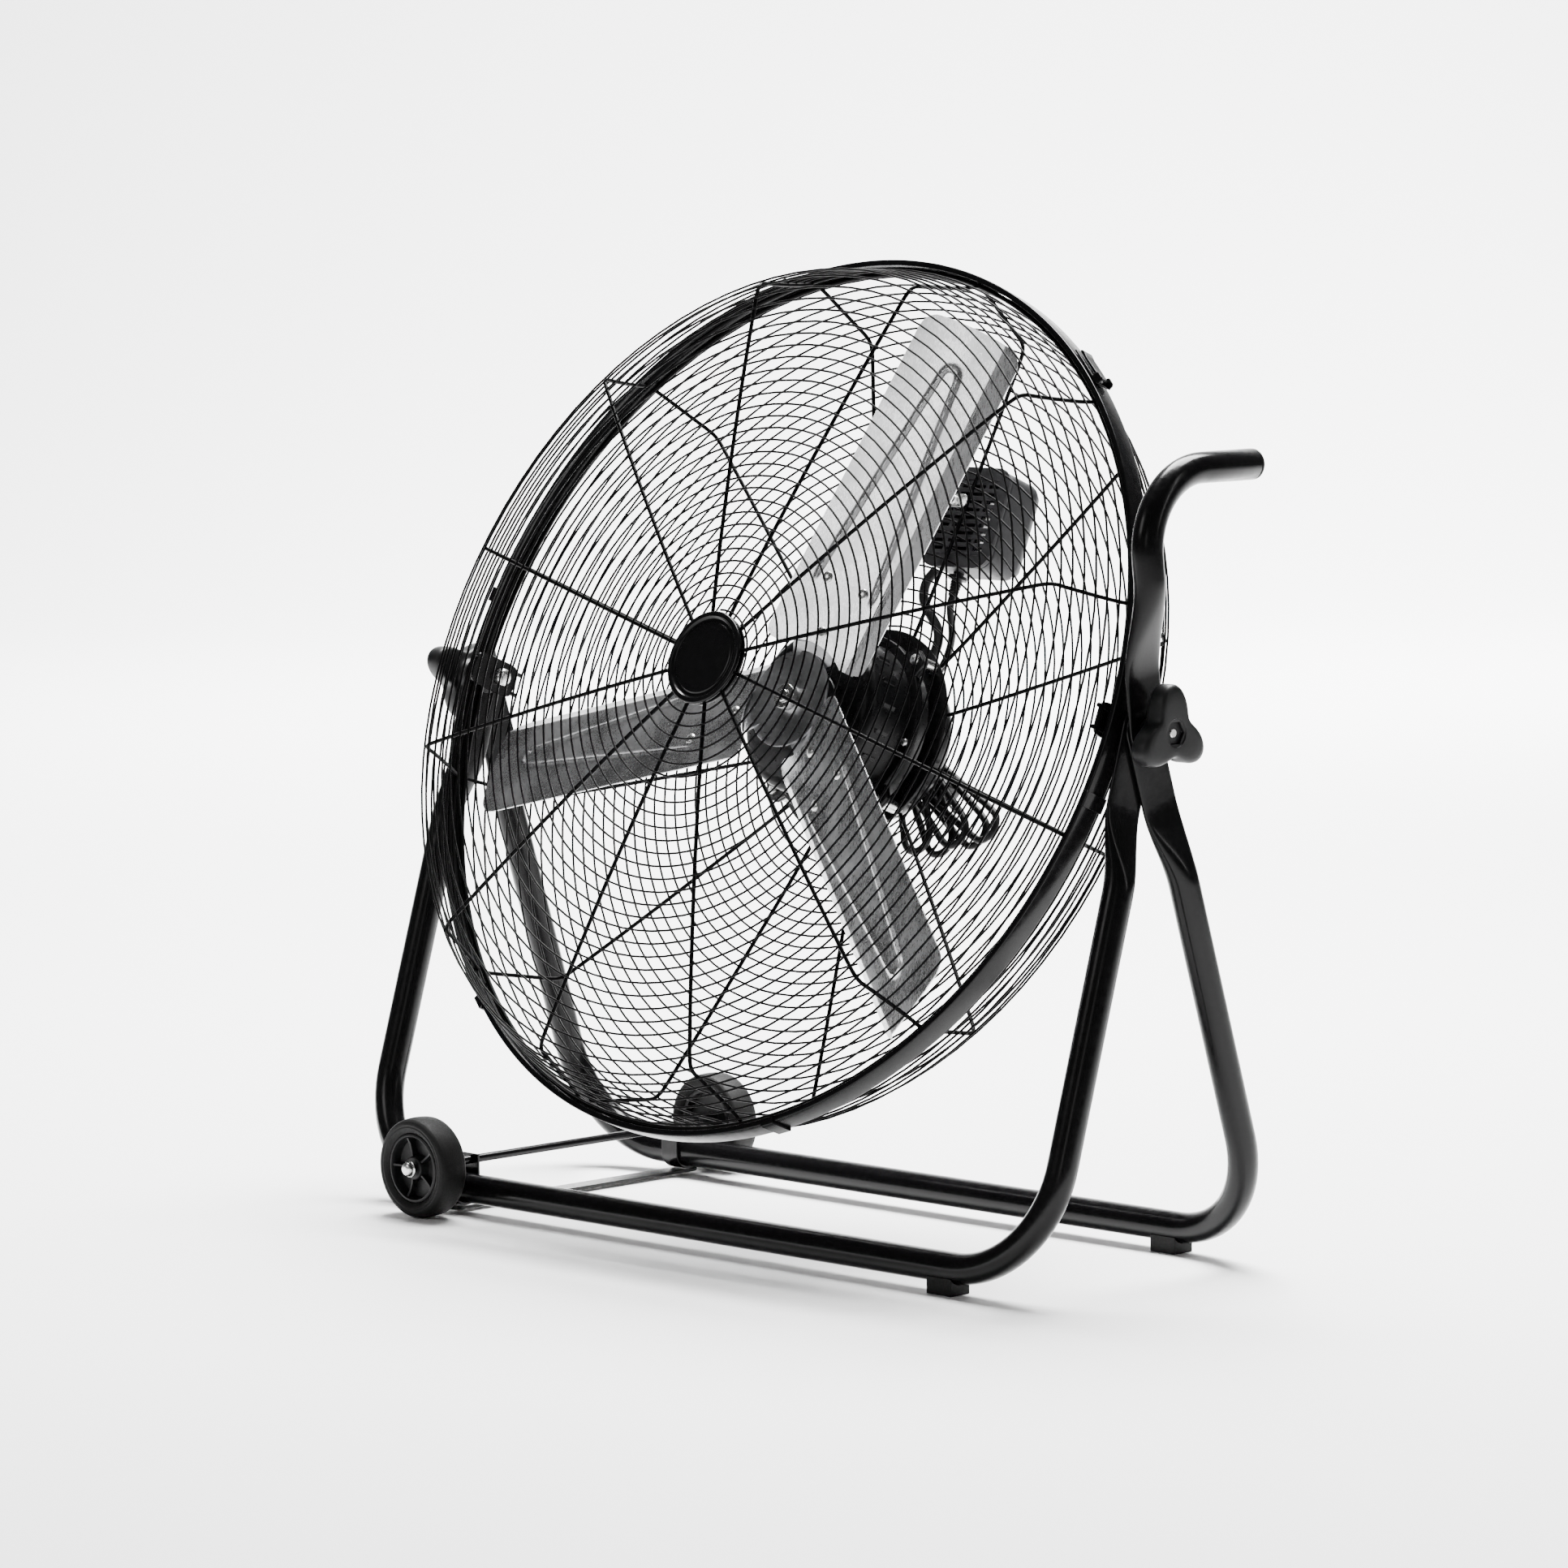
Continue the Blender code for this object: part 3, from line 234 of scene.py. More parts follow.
def piece(name, bm, surface, body, stands_for=(), matrix=WORLD, sharp=38.0, bevel=0.0, segments=2):
    """Closes the bmesh into a smooth-shaded piece that rides on a body. bevel rounds its sharp edges."""
    bmesh.ops.recalc_face_normals(bm, faces=bm.faces)
    mesh = bpy.data.meshes.new(name)
    bm.to_mesh(mesh)
    bm.free()
    mesh.transform(matrix)
    mesh.shade_smooth()
    if bevel <= 0.0:
        mesh.set_sharp_from_angle(angle=math.radians(sharp))
    made = bpy.data.objects.new(name, mesh)
    if bevel > 0.0:
        rounding = made.modifiers.new("bevel", "BEVEL")
        rounding.width = bevel
        rounding.segments = segments
        rounding.limit_method = "ANGLE"
        rounding.angle_limit = math.radians(32.0)
        rounding.harden_normals = True
    return finish_piece(made, surface, body, stands_for)


def loft(bm, loops, closed=False):
    """Joins loops of equal length with quads, with a cap at each end unless the last meets the first."""
    rows = [[bm.verts.new(point) for point in loop] for loop in loops]
    count = len(rows[0])
    for i in range(len(rows) if closed else len(rows) - 1):
        here = rows[i]
        there = rows[(i + 1) % len(rows)]
        for j in range(count):
            k = (j + 1) % count
            bm.faces.new((here[j], here[k], there[k], there[j]))
    if not closed:
        bm.faces.new(rows[0])
        bm.faces.new(rows[-1])


def ring(centre, first, second, radius, count):
    """A circle of points in the plane of two unit vectors."""
    points = []
    for i in range(count):
        a = 2.0 * math.pi * i / count
        points.append(centre + (first * math.cos(a) + second * math.sin(a)) * radius)
    return points


def stepped_rod(bm, centre, sign, stations, count, closed=False):
    """A round piece along X from (x, radius) stations, mirrored where sign is -1."""
    loft(bm, [ring(centre + X * (sign * x), Y, Z, radius, count) for x, radius in stations], closed)


def turned(bm, profile, steps, closed=False, reach=None):
    """Turns (radius, y) points about Y. Angles run from +Z towards +X."""
    rows = []
    for radius, y in profile:
        if radius < 1e-6:
            rows.append([bm.verts.new((0.0, y, 0.0))])
            continue
        row = []
        for i in range(steps):
            angle = 2.0 * math.pi * i / steps
            r = reach(radius, angle) if reach else radius
            row.append(bm.verts.new((r * math.sin(angle), y, r * math.cos(angle))))
        rows.append(row)
    for i in range(len(rows) if closed else len(rows) - 1):
        here = rows[i]
        there = rows[(i + 1) % len(rows)]
        for j in range(steps):
            k = (j + 1) % steps
            if len(here) == 1:
                bm.faces.new((here[0], there[k], there[j]))
            elif len(there) == 1:
                bm.faces.new((here[j], here[k], there[0]))
            else:
                bm.faces.new((here[j], here[k], there[k], there[j]))


def block(bm, low, high):
    loops = []
    for z in (low[2], high[2]):
        loops.append(
            [(low[0], low[1], z), (high[0], low[1], z), (high[0], high[1], z), (low[0], high[1], z)]
        )
    loft(bm, loops)


def extruded(bm, outline, axis, low, high):
    if axis == "X":
        loft(bm, [[(level, a, b) for a, b in outline] for level in (low, high)])
    elif axis == "Y":
        loft(bm, [[(a, level, b) for a, b in outline] for level in (low, high)])
    else:
        loft(bm, [[(a, b, level) for a, b in outline] for level in (low, high)])


def rounded(profile, radius, steps=3):
    """Rounds the corners of a (radius, y) profile."""
    result = []
    last = len(profile) - 1
    for i, here in enumerate(profile):
        if i in (0, last):
            result.append(here)
            continue
        at = Vector(here)
        before = Vector(profile[i - 1]) - at
        after = Vector(profile[i + 1]) - at
        reach = min(radius, before.length * 0.45, after.length * 0.45)
        start = at + before.normalized() * reach
        end = at + after.normalized() * reach
        for step in range(steps + 1):
            t = step / steps
            point = start * (1 - t) ** 2 + at * (2 * t * (1 - t)) + end * t ** 2
            result.append((point.x, point.y))
    return result


def rounded_loop(profile, radius, steps=3):
    """The same for a closed profile."""
    extended = [profile[-1]] + list(profile) + [profile[0]]
    return rounded(extended, radius, steps)[1:-1]


def smooth_points(points, per_span=16):
    """Catmull-Rom curve through the points."""
    given = [Vector(p) for p in points]
    ends = [given[0] * 2.0 - given[1]] + given + [given[-1] * 2.0 - given[-2]]
    fine = []
    for i in range(1, len(ends) - 2):
        a, b, c, d = ends[i - 1:i + 3]
        for step in range(per_span):
            t = step / per_span
            fine.append(0.5 * (
                b * 2.0 + (c - a) * t + (a * 2.0 - b * 5.0 + c * 4.0 - d) * t ** 2
                + (b * 3.0 - a - c * 3.0 + d) * t ** 3
            ))
    fine.append(given[-1])
    return fine


def even_points(fine, count):
    """The same curve with its points at even spacing."""
    lengths = [0.0]
    for i in range(1, len(fine)):
        lengths.append(lengths[-1] + (fine[i] - fine[i - 1]).length)
    result = []
    at = 0
    for i in range(count):
        wanted = lengths[-1] * i / (count - 1)
        while at < len(fine) - 2 and lengths[at + 1] < wanted:
            at += 1
        span = lengths[at + 1] - lengths[at]
        share = (wanted - lengths[at]) / span if span > 0.0 else 0.0
        result.append(fine[at].lerp(fine[at + 1], share))
    return result


def wire(name, splines, radius, surface, body, stands_for=(), sides=2, cyclic=False):
    """One or more round wires as a bevelled curve. Points are in the world frame."""
    data = bpy.data.curves.new(name, "CURVE")
    data.dimensions = "3D"
    data.bevel_depth = radius
    data.bevel_resolution = sides
    data.use_fill_caps = True
    for points in splines:
        spline = data.splines.new("POLY")
        spline.points.add(len(points) - 1)
        for target, point in zip(spline.points, points):
            target.co = (*point, 1.0)
        spline.use_cyclic_u = cyclic
        spline.use_smooth = True
    return finish_piece(bpy.data.objects.new(name, data), surface, body, stands_for)


def head_point(angle, radius, y):
    return HEAD @ Vector((radius * math.sin(angle), y, radius * math.cos(angle)))


# ---------------------------------------------------------------- power cord

CORD_R = 0.0035
CORD_EXIT = (0.0390, 0.1200, 0.1468)
HANK_CENTRE = Vector((0.0550, 0.1555, -0.0450))
HANK_ANGLE = math.radians(-41.0)
HANK_THICK = 0.022
TIE_ALONG = -0.0600
FOLD_R = 0.0155
# The turns fan out from the tie: each one's lean, in degrees, and its reach past the tie.
TURNS = ((-20.3, 0.0984), (2.9, 0.1172), (15.6, 0.1409), (-9.0, 0.1080), (9.5, 0.1280))
TURN_TAIL = 0.0250
PLUG_DEPTH = HANK_THICK / 2.0 + 0.0129
ALONG = Vector((math.cos(HANK_ANGLE), 0.0, math.sin(HANK_ANGLE)))
ACROSS = Vector((-math.sin(HANK_ANGLE), 0.0, math.cos(HANK_ANGLE)))


def smooth_step(t):
    t = min(max(t, 0.0), 1.0)
    return t * t * (3.0 - 2.0 * t)


def hank_point(along, across, depth):
    return HANK_CENTRE + ALONG * along + ACROSS * across + Vector((0.0, depth, 0.0))


def turn_point(number, share, depth):
    """A point of one turn: a long loop through the tie, from its inner fold and round by its outer one."""
    lean, reach = TURNS[number]
    follows = TURNS[min(number + 1, len(TURNS) - 1)][0]
    lean = math.radians(lean + (follows - lean) * smooth_step((share - 0.82) / 0.18))
    straight = reach + TURN_TAIL - 2.0 * FOLD_R
    quarter = FOLD_R * math.pi / 2.0
    run = share * (2.0 * straight + 4.0 * quarter)
    if run < quarter:
        a = math.pi - run / FOLD_R
        u, v = -TURN_TAIL + FOLD_R + FOLD_R * math.cos(a), FOLD_R * math.sin(a)
    elif run < quarter + straight:
        u, v = -TURN_TAIL + FOLD_R + run - quarter, FOLD_R
    elif run < 3.0 * quarter + straight:
        a = math.pi / 2.0 - (run - quarter - straight) / FOLD_R
        u, v = reach - FOLD_R + FOLD_R * math.cos(a), FOLD_R * math.sin(a)
    elif run < 3.0 * quarter + 2.0 * straight:
        u, v = reach - FOLD_R - (run - 3.0 * quarter - straight), -FOLD_R
    else:
        a = -math.pi / 2.0 - (run - 3.0 * quarter - 2.0 * straight) / FOLD_R
        u, v = -TURN_TAIL + FOLD_R + FOLD_R * math.cos(a), FOLD_R * math.sin(a)
    along = TIE_ALONG + u * math.cos(lean) - v * math.sin(lean)
    return hank_point(along, u * math.sin(lean) + v * math.cos(lean), depth)


def power_cord():
    """Down from the box, behind the motor, five tied turns that fan out, and round into the plug."""
    route = [
        CORD_EXIT, (0.0390, 0.1200, 0.1400), (0.0388, 0.1235, 0.1310),
        (0.0350, 0.1370, 0.1140), (0.0250, 0.1480, 0.0960), (0.0120, 0.1540, 0.0760),
        (0.0050, 0.1550, 0.0560), (0.0085, 0.1520, 0.0330),
    ]
    points = [Vector(p) for p in route]
    per_turn = 24
    first = 3
    last = per_turn * len(TURNS) - 5
    for i in range(first, last):
        depth = -0.0075 + 0.0153 * (i - first) / (last - first)
        points.append(turn_point(i // per_turn, (i % per_turn) / per_turn, depth))
    points.append(hank_point(-0.0480, -0.0185, 0.0150))
    fold = 0.0150
    for step in range(5):
        a = math.radians(-90.0 - 45.0 * step)
        depth = PLUG_DEPTH - 0.0034 * (1.0 - step / 4)
        points.append(hank_point(-0.0700 + fold * math.cos(a), -fold + fold * math.sin(a), depth))
    points += [hank_point(-0.0620, 0.0, PLUG_DEPTH), hank_point(-0.0520, 0.0, PLUG_DEPTH)]
    fine = smooth_points(points, 5)
    world = [HEAD @ p for p in fine]
    length = sum((world[i] - world[i - 1]).length for i in range(1, len(world)))
    cord = wire("power_cord_run", [world], CORD_R, CORD, "head", ("power_cord", "cord_hank"), 3)
    return cord, world[0], length


cord, cord_exit, cord_length = power_cord()
print("cord length", round(cord_length, 3))


def cord_fittings():
    """The tie round the hank and the tapered strain relief under the box."""
    bm = bmesh.new()
    loops = []
    half_y = HANK_THICK / 2.0 + 0.0009
    half_z = FOLD_R + CORD_R
    outline = []
    for i in range(40):
        a = 2.0 * math.pi * i / 40
        c, s = math.cos(a), math.sin(a)
        outline.append((math.copysign(abs(c) ** 0.5, c), math.copysign(abs(s) ** 0.5, s)))
    edge = 0.0032
    flat = 0.0026
    thick = 0.0011
    inside = -0.0002
    for x, gap in (
        (-edge, 0.0), (-flat, thick), (flat, thick), (edge, 0.0), (flat, inside), (-flat, inside),
    ):
        loops.append([
            hank_point(TIE_ALONG + x, b * (half_z + gap), a * (half_y + gap)) for a, b in outline
        ])
    loft(bm, loops, closed=True)
    piece("cord_tie_strap", bm, PLASTIC, "head", ("cord_tie",), HEAD)

    bm = bmesh.new()
    rings = [(0.0036, 0.0000), (0.0043, 0.0000)]
    for i in range(5):
        base = 0.0012 + i * 0.0028
        grow = 0.00028 * i
        rings += [(0.0046 + grow, base), (0.0046 + grow, base + 0.0016)]
        rings += [(0.0041 + grow, base + 0.0019), (0.0041 + grow, base + 0.0026)]
    rings += [(0.0062, 0.0160), (0.0092, 0.0163), (0.0092, 0.0192)]
    rings += [(0.0052, 0.0196), (0.0052, 0.0240), (0.0036, 0.0240)]
    foot = Vector(CORD_EXIT) + Z * 0.0004
    loft(bm, [ring(foot + Z * up, X, Y, radius, 28) for radius, up in rings], closed=True)
    piece("strain_relief", bm, PLASTIC, "head", ("cord_gland",), HEAD, sharp=50.0)


def plug_piece():
    """Moulded plug with a waisted body, a short ribbed tail, two flat pins and a round one."""
    bm = bmesh.new()
    loops = []
    stations = (
        (-0.0360, 0.32), (-0.0352, 0.36), (-0.0300, 0.38), (-0.0296, 0.46), (-0.0276, 0.46),
        (-0.0272, 0.42),
        (-0.0252, 0.44), (-0.0248, 0.54), (-0.0228, 0.54), (-0.0224, 0.52), (-0.0190, 0.66),
        (-0.0150, 0.84),
        (-0.0120, 0.96), (-0.0100, 1.0), (-0.0016, 1.0), (-0.0004, 0.96), (0.0, 0.90),
    )
    for x, share in stations:
        loop = []
        for i in range(40):
            a = 2.0 * math.pi * i / 40
            c, s = math.cos(a), math.sin(a)
            depth = math.copysign(abs(c) ** 0.6, c) * 0.0125 * share
            across = math.copysign(abs(s) ** 0.6, s) * 0.0145 * share
            loop.append(hank_point(-0.0180 + x, across, PLUG_DEPTH + depth))
        loops.append(loop)
    loft(bm, loops)
    body = piece("plug_body", bm, PLASTIC, "head", ("cord_plug",), HEAD, sharp=50.0)
    pins = bmesh.new()
    for z in (-0.0063, 0.0063):
        low = (-0.0182, PLUG_DEPTH - 0.0072, z - 0.0008)
        high = (-0.0002, PLUG_DEPTH - 0.0008, z + 0.0008)
        block(pins, low, high)
    earth = Y * (PLUG_DEPTH + 0.0060)
    stepped_rod(pins, earth, 1.0, ((-0.0182, 0.0024), (-0.0010, 0.0024), (0.0, 0.0012)), 20)
    place = Matrix((ALONG, Y, ACROSS)).transposed().to_4x4()
    place.translation = HANK_CENTRE
    blades = piece("plug_pins", pins, ZINC, "head", (), HEAD @ place, bevel=0.0003)
    return body, blades


cord_fittings()
plug_body, plug_pins = plug_piece()


# ---------------------------------------------------------------- stand

TUBE_R = 0.014
RAIL_Z = 0.0235
RAIL_Y = 0.145
LEG_X = 0.4445
FRONT_FLAT_X = 0.4307
REAR_FLAT_X = 0.4354
BEND_R = 0.102
FLAT_HALF_WIDTH = 0.021
FLAT_HALF_THICK = 0.0022
LEG_FLAT_END = 0.068
LEG_ROUND_START = 0.146
HANDLE_FLAT_END = 0.046
HANDLE_ROUND_START = 0.136
HANDLE_X = 0.4580
HANDLE_FLAT_X = 0.4401
HANDLE_TOP_Z = 0.722
HANDLE_BEND_R = 0.070
HANDLE_LEAN = 0.112
HANDLE_END_Y = 0.118
SIDES = 40


def section(centre, side, width, half_side=TUBE_R, half_width=TUBE_R, squareness=1.0):
    """A tube's cross-section: round at squareness 1, nearing a rectangle below that."""
    loop = []
    for i in range(SIDES):
        angle = 2.0 * math.pi * (i + 0.5) / SIDES
        c, s = math.cos(angle), math.sin(angle)
        a = math.copysign(abs(c) ** squareness, c) * half_side
        b = math.copysign(abs(s) ** squareness, s) * half_width
        loop.append(centre + side * a + width * b)
    return loop


def flat_end_stations(flat_end, round_start):
    """(distance from the pivot, share of round) from the rounded tip to the full tube."""
    stations = [(-FLAT_HALF_WIDTH * math.cos(math.radians(a)), 0.0) for a in range(4, 90, 8)]
    stations += [(flat_end * share, 0.0) for share in (0.0, 0.2, 0.4, 0.7, 1.0)]
    for step in range(1, 17):
        t = step / 16
        stations.append((flat_end + (round_start - flat_end) * t, smooth_step(t)))
    return stations


def end_section(s, share, flat_x, round_x, sign, away, across):
    """A section of a flattened end at distance s from the pivot, with 0 as flat and 1 as round."""
    x = flat_x + (round_x - flat_x) * share
    centre = Vector((sign * x, PIVOT.y, PIVOT.z)) + away * s
    half_side = FLAT_HALF_THICK + (TUBE_R - FLAT_HALF_THICK) * share
    half_width = FLAT_HALF_WIDTH + (TUBE_R - FLAT_HALF_WIDTH) * share
    if s < 0.0:
        half_width = math.sqrt(max(FLAT_HALF_WIDTH ** 2 - s ** 2, 0.0014 ** 2))
    squareness = 0.42 + 0.58 * share
    return section(centre, X, across, half_side, half_width, squareness)


def leg_frame(name, node, rail_y, flat_x):
    """A U of tube: from one flattened end down the leg, round the bend, and mirrored."""
    up = Vector((0.0, -rail_y, PIVOT.z - RAIL_Z)).normalized()
    across = up.cross(X)
    length = math.hypot(rail_y, PIVOT.z - RAIL_Z)
    half = []
    for s, share in flat_end_stations(LEG_FLAT_END, LEG_ROUND_START):
        half.append(end_section(s, share, flat_x, LEG_X, -1.0, -up, across))
    for s in (0.18, 0.25, 0.32):
        half.append(section(Vector((-LEG_X, 0.0, PIVOT.z)) - up * s, X, across))
    steps = 20
    for i in range(steps):
        a = math.radians(90.0) * i / (steps - 1)
        x = LEG_X - BEND_R + BEND_R * math.cos(a)
        s = length - BEND_R + BEND_R * math.sin(a)
        side = Vector((math.cos(a), 0.0, 0.0)) + up * math.sin(a)
        half.append(section(Vector((-x, 0.0, PIVOT.z)) - up * s, side, across))
    mirrored = [[Vector((-p.x, p.y, p.z)) for p in loop] for loop in reversed(half)]
    bm = bmesh.new()
    loft(bm, half + mirrored)
    piece(name, bm, PAINT, "stand", (node,), sharp=60.0)


def handle():
    """Rises from its flat over the tilt bolt, then bends back into a level grip with a plugged end."""
    lean = Vector((0.0, -HANDLE_LEAN, 1.0)).normalized()
    width = lean.cross(X)
    loops = []
    for s, share in flat_end_stations(HANDLE_FLAT_END, HANDLE_ROUND_START):
        loops.append(end_section(s, share, HANDLE_FLAT_X, HANDLE_X, 1.0, lean, width))
    turn = math.pi / 2.0 + math.atan(HANDLE_LEAN)
    start_z = HANDLE_TOP_Z - HANDLE_BEND_R * (1.0 + math.sin(math.atan(HANDLE_LEAN)))
    start = Vector((HANDLE_X, -HANDLE_LEAN * (start_z - PIVOT.z), start_z))
    inward = Vector((0.0, 1.0, HANDLE_LEAN)).normalized()
    bend_centre = start + inward * HANDLE_BEND_R
    for i in range(22):
        a = turn * i / 21
        out = -inward * math.cos(a) + lean * math.sin(a)
        loops.append(section(bend_centre + out * HANDLE_BEND_R, X, -out))
    for y, radius in ((HANDLE_END_Y - 0.001, TUBE_R), (HANDLE_END_Y, TUBE_R - 0.0006)):
        loops.append(section(Vector((HANDLE_X, y, HANDLE_TOP_Z)), X, -Z, radius, radius))
    bm = bmesh.new()
    loft(bm, loops)
    piece("carrying_handle", bm, PAINT, "stand", ("handle_tube",), sharp=60.0)
    bm = bmesh.new()
    y = HANDLE_END_Y + 0.0002
    radius = TUBE_R - 0.0002
    profile = [(0.0, y), (radius, y), (radius, y + 0.0022), (0.0112, y + 0.0052), (0.0, y + 0.0062)]
    turned(bm, rounded(profile, 0.0012), 40)
    place = Matrix.Translation((HANDLE_X, 0.0, HANDLE_TOP_Z))
    piece("handle_plug", bm, PLASTIC, "stand", ("handle_end_plug",), place)


leg_frame("front_frame_tube", "front_leg_frame", -RAIL_Y, FRONT_FLAT_X)
leg_frame("rear_frame_tube", "rear_leg_frame", RAIL_Y, REAR_FLAT_X)
handle()


# ---------------------------------------------------------------- wheels, feet and axle

AXLE_X = joints["front_wheel_spin"]["pos_m"][0]
AXLE_Z = joints["front_wheel_spin"]["pos_m"][2]


def bracket_outline(inner, outer, top, steps=20):
    """A U about a rail's centre, open at the top."""
    points = [(outer, top)]
    for i in range(steps + 1):
        a = -math.pi * i / steps
        points.append((outer * math.cos(a), outer * math.sin(a)))
    points += [(-outer, top), (-inner, top)]
    for i in range(steps + 1):
        a = -math.pi + math.pi * i / steps
        points.append((inner * math.cos(a), inner * math.sin(a)))
    points.append((inner, top))
    return points


def hex_head(bm, centre, across, low, high, washer):
    """A hexagon head standing along Z, with a washer on it."""
    radius = across / math.sqrt(3.0)
    stations = ((low, 0.92), (low + 0.0004, 1.0), (high, 1.0))
    loft(bm, [ring(centre + Z * z, X, Y, radius * share, 6) for z, share in stations])
    loft(bm, [ring(centre + Z * z, X, Y, washer, 28) for z in (high, high + 0.0006)])


def wheel(side, sign):
    """Tyre, hub, five spokes and the push nut. In the wheel's own frame +Y is its outer face."""
    centre = Vector((AXLE_X, sign * abs(joints[side + "_wheel_spin"]["pos_m"][1]), AXLE_Z))
    place = Matrix.Translation(centre)
    if sign < 0.0:
        place = place @ Matrix.Rotation(math.pi, 4, "Z")
    body = side + "_wheel"
    tyre = bmesh.new()
    profile = [
        (0.0333, -0.0125), (0.0365, -0.0150), (0.0415, -0.0159), (0.0445, -0.0147), (0.0462, -0.0125),
        (0.0471, -0.0085),
        (0.0474, -0.0030), (0.0475, -0.0008), (0.0475, 0.0008), (0.0474, 0.0030), (0.0471, 0.0085),
        (0.0462, 0.0125),
        (0.0445, 0.0147), (0.0415, 0.0159), (0.0398, 0.0153), (0.0385, 0.0159), (0.0365, 0.0150),
        (0.0333, 0.0125),
    ]
    turned(tyre, rounded_loop(profile, 0.0006, 2), 96, closed=True)
    piece(side + "_tyre_moulding", tyre, RUBBER, body, (side + "_tyre",), place, sharp=50.0)

    hub = bmesh.new()
    profile = [
        (0.0042, -0.0255), (0.0090, -0.0255), (0.0090, -0.0030), (0.0290, -0.0030), (0.0290, -0.0125),
        (0.0330, -0.0125),
        (0.0330, 0.0130), (0.0300, 0.0138), (0.0288, 0.0100), (0.0280, 0.0035), (0.0125, 0.0030),
        (0.0112, 0.0110), (0.0104, 0.0125), (0.0042, 0.0125),
    ]
    turned(hub, rounded_loop(profile, 0.0007, 2), 64, closed=True)
    piece(
        side + "_wheel_centre", hub, PLASTIC, body, (side + "_wheel_hub",), place,
        sharp=45.0,
    )
    spokes = bmesh.new()
    for number in range(5):
        a = 2.0 * math.pi * number / 5 + 0.3
        turn = Matrix.Rotation(a, 4, "Y")
        loops = []
        for r, half, top in (
            (0.0095, 0.0016, 0.0108), (0.0150, 0.0013, 0.0098), (0.0230, 0.0013, 0.0098),
            (0.0292, 0.0016, 0.0118),
        ):
            loops.append([
                turn @ Vector(p) for p in (
                    (-half, 0.0020, r), (half, 0.0020, r), (half * 0.8, top, r), (-half * 0.8, top, r),
                )
            ])
        loft(spokes, loops)
    piece(side + "_wheel_spokes", spokes, PLASTIC, body, (), place, bevel=0.0004)
    nut = bmesh.new()
    profile = [
        (0.0, 0.0232), (0.0030, 0.0230), (0.0056, 0.0218), (0.0066, 0.0200),
        (0.0070, 0.0178), (0.0082, 0.0172), (0.0082, 0.0165), (0.0, 0.0165),
    ]
    turned(nut, rounded(profile, 0.0006, 2), 40)
    piece(side + "_push_nut", nut, ZINC, "stand", (), place)


def stand_fittings():
    """Saddles, strap bolts and feet on both rails, then the strap and the axle between them."""
    for side, sign in (("front", -1.0), ("rear", 1.0)):
        rail = sign * RAIL_Y
        bm = bmesh.new()
        outline = [
            (rail + y, RAIL_Z + z) for y, z in bracket_outline(TUBE_R + 0.0003, TUBE_R + 0.0030, 0.0300)
        ]
        extruded(bm, outline, "X", AXLE_X - 0.011, AXLE_X + 0.011)
        piece(side + "_saddle", bm, PAINT, "stand", (side + "_axle_bracket",), bevel=0.0006)
        bm = bmesh.new()
        hex_head(bm, Vector((AXLE_X, rail, 0.0)), 0.0080, 0.0006, 0.0030, 0.0066)
        piece(side + "_strap_bolt", bm, ZINC, "stand", (), bevel=0.0002)
        bm = bmesh.new()
        inner = TUBE_R + 0.0002
        half = 0.012
        edge = math.asin(half / inner)
        outline = [(-half, 0.0), (half, 0.0)]
        for i in range(17):
            a = edge - 2.0 * edge * i / 16
            outline.append((inner * math.sin(a), RAIL_Z - inner * math.cos(a)))
        x = sum(v[0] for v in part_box(side + "_foot")) / 2.0
        extruded(bm, [(rail + y, z) for y, z in outline], "X", x - 0.015, x + 0.015)
        piece(
            side + "_rubber_foot", bm, RUBBER, "stand", (side + "_foot",), bevel=0.0016,
            segments=3,
        )
    bm = bmesh.new()
    low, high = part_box("axle_strap")
    outline = []
    for sign in (-1.0, 1.0):
        for i in range(13):
            a = math.pi * i / 12
            outline.append(
                (AXLE_X + sign * 0.011 * math.cos(a), sign * (high.y - 0.011 + 0.011 * math.sin(a)))
            )
    extruded(bm, outline, "Z", low.z, high.z)
    piece("cross_strap", bm, PAINT, "stand", ("axle_strap",), bevel=0.0005)
    bm = bmesh.new()
    low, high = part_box("axle_rod")
    radius = (high.x - low.x) / 2.0
    profile = rounded([(0.0, low.y), (radius, low.y), (radius, high.y), (0.0, high.y)], 0.0008)
    turned(bm, profile, 32)
    piece(
        "wheel_axle", bm, PAINT, "stand", ("axle_rod",),
        Matrix.Translation((AXLE_X, 0.0, AXLE_Z)),
    )


wheel("front", -1.0)
wheel("rear", 1.0)
stand_fittings()


# ---------------------------------------------------------------- tilt pivots and knobs

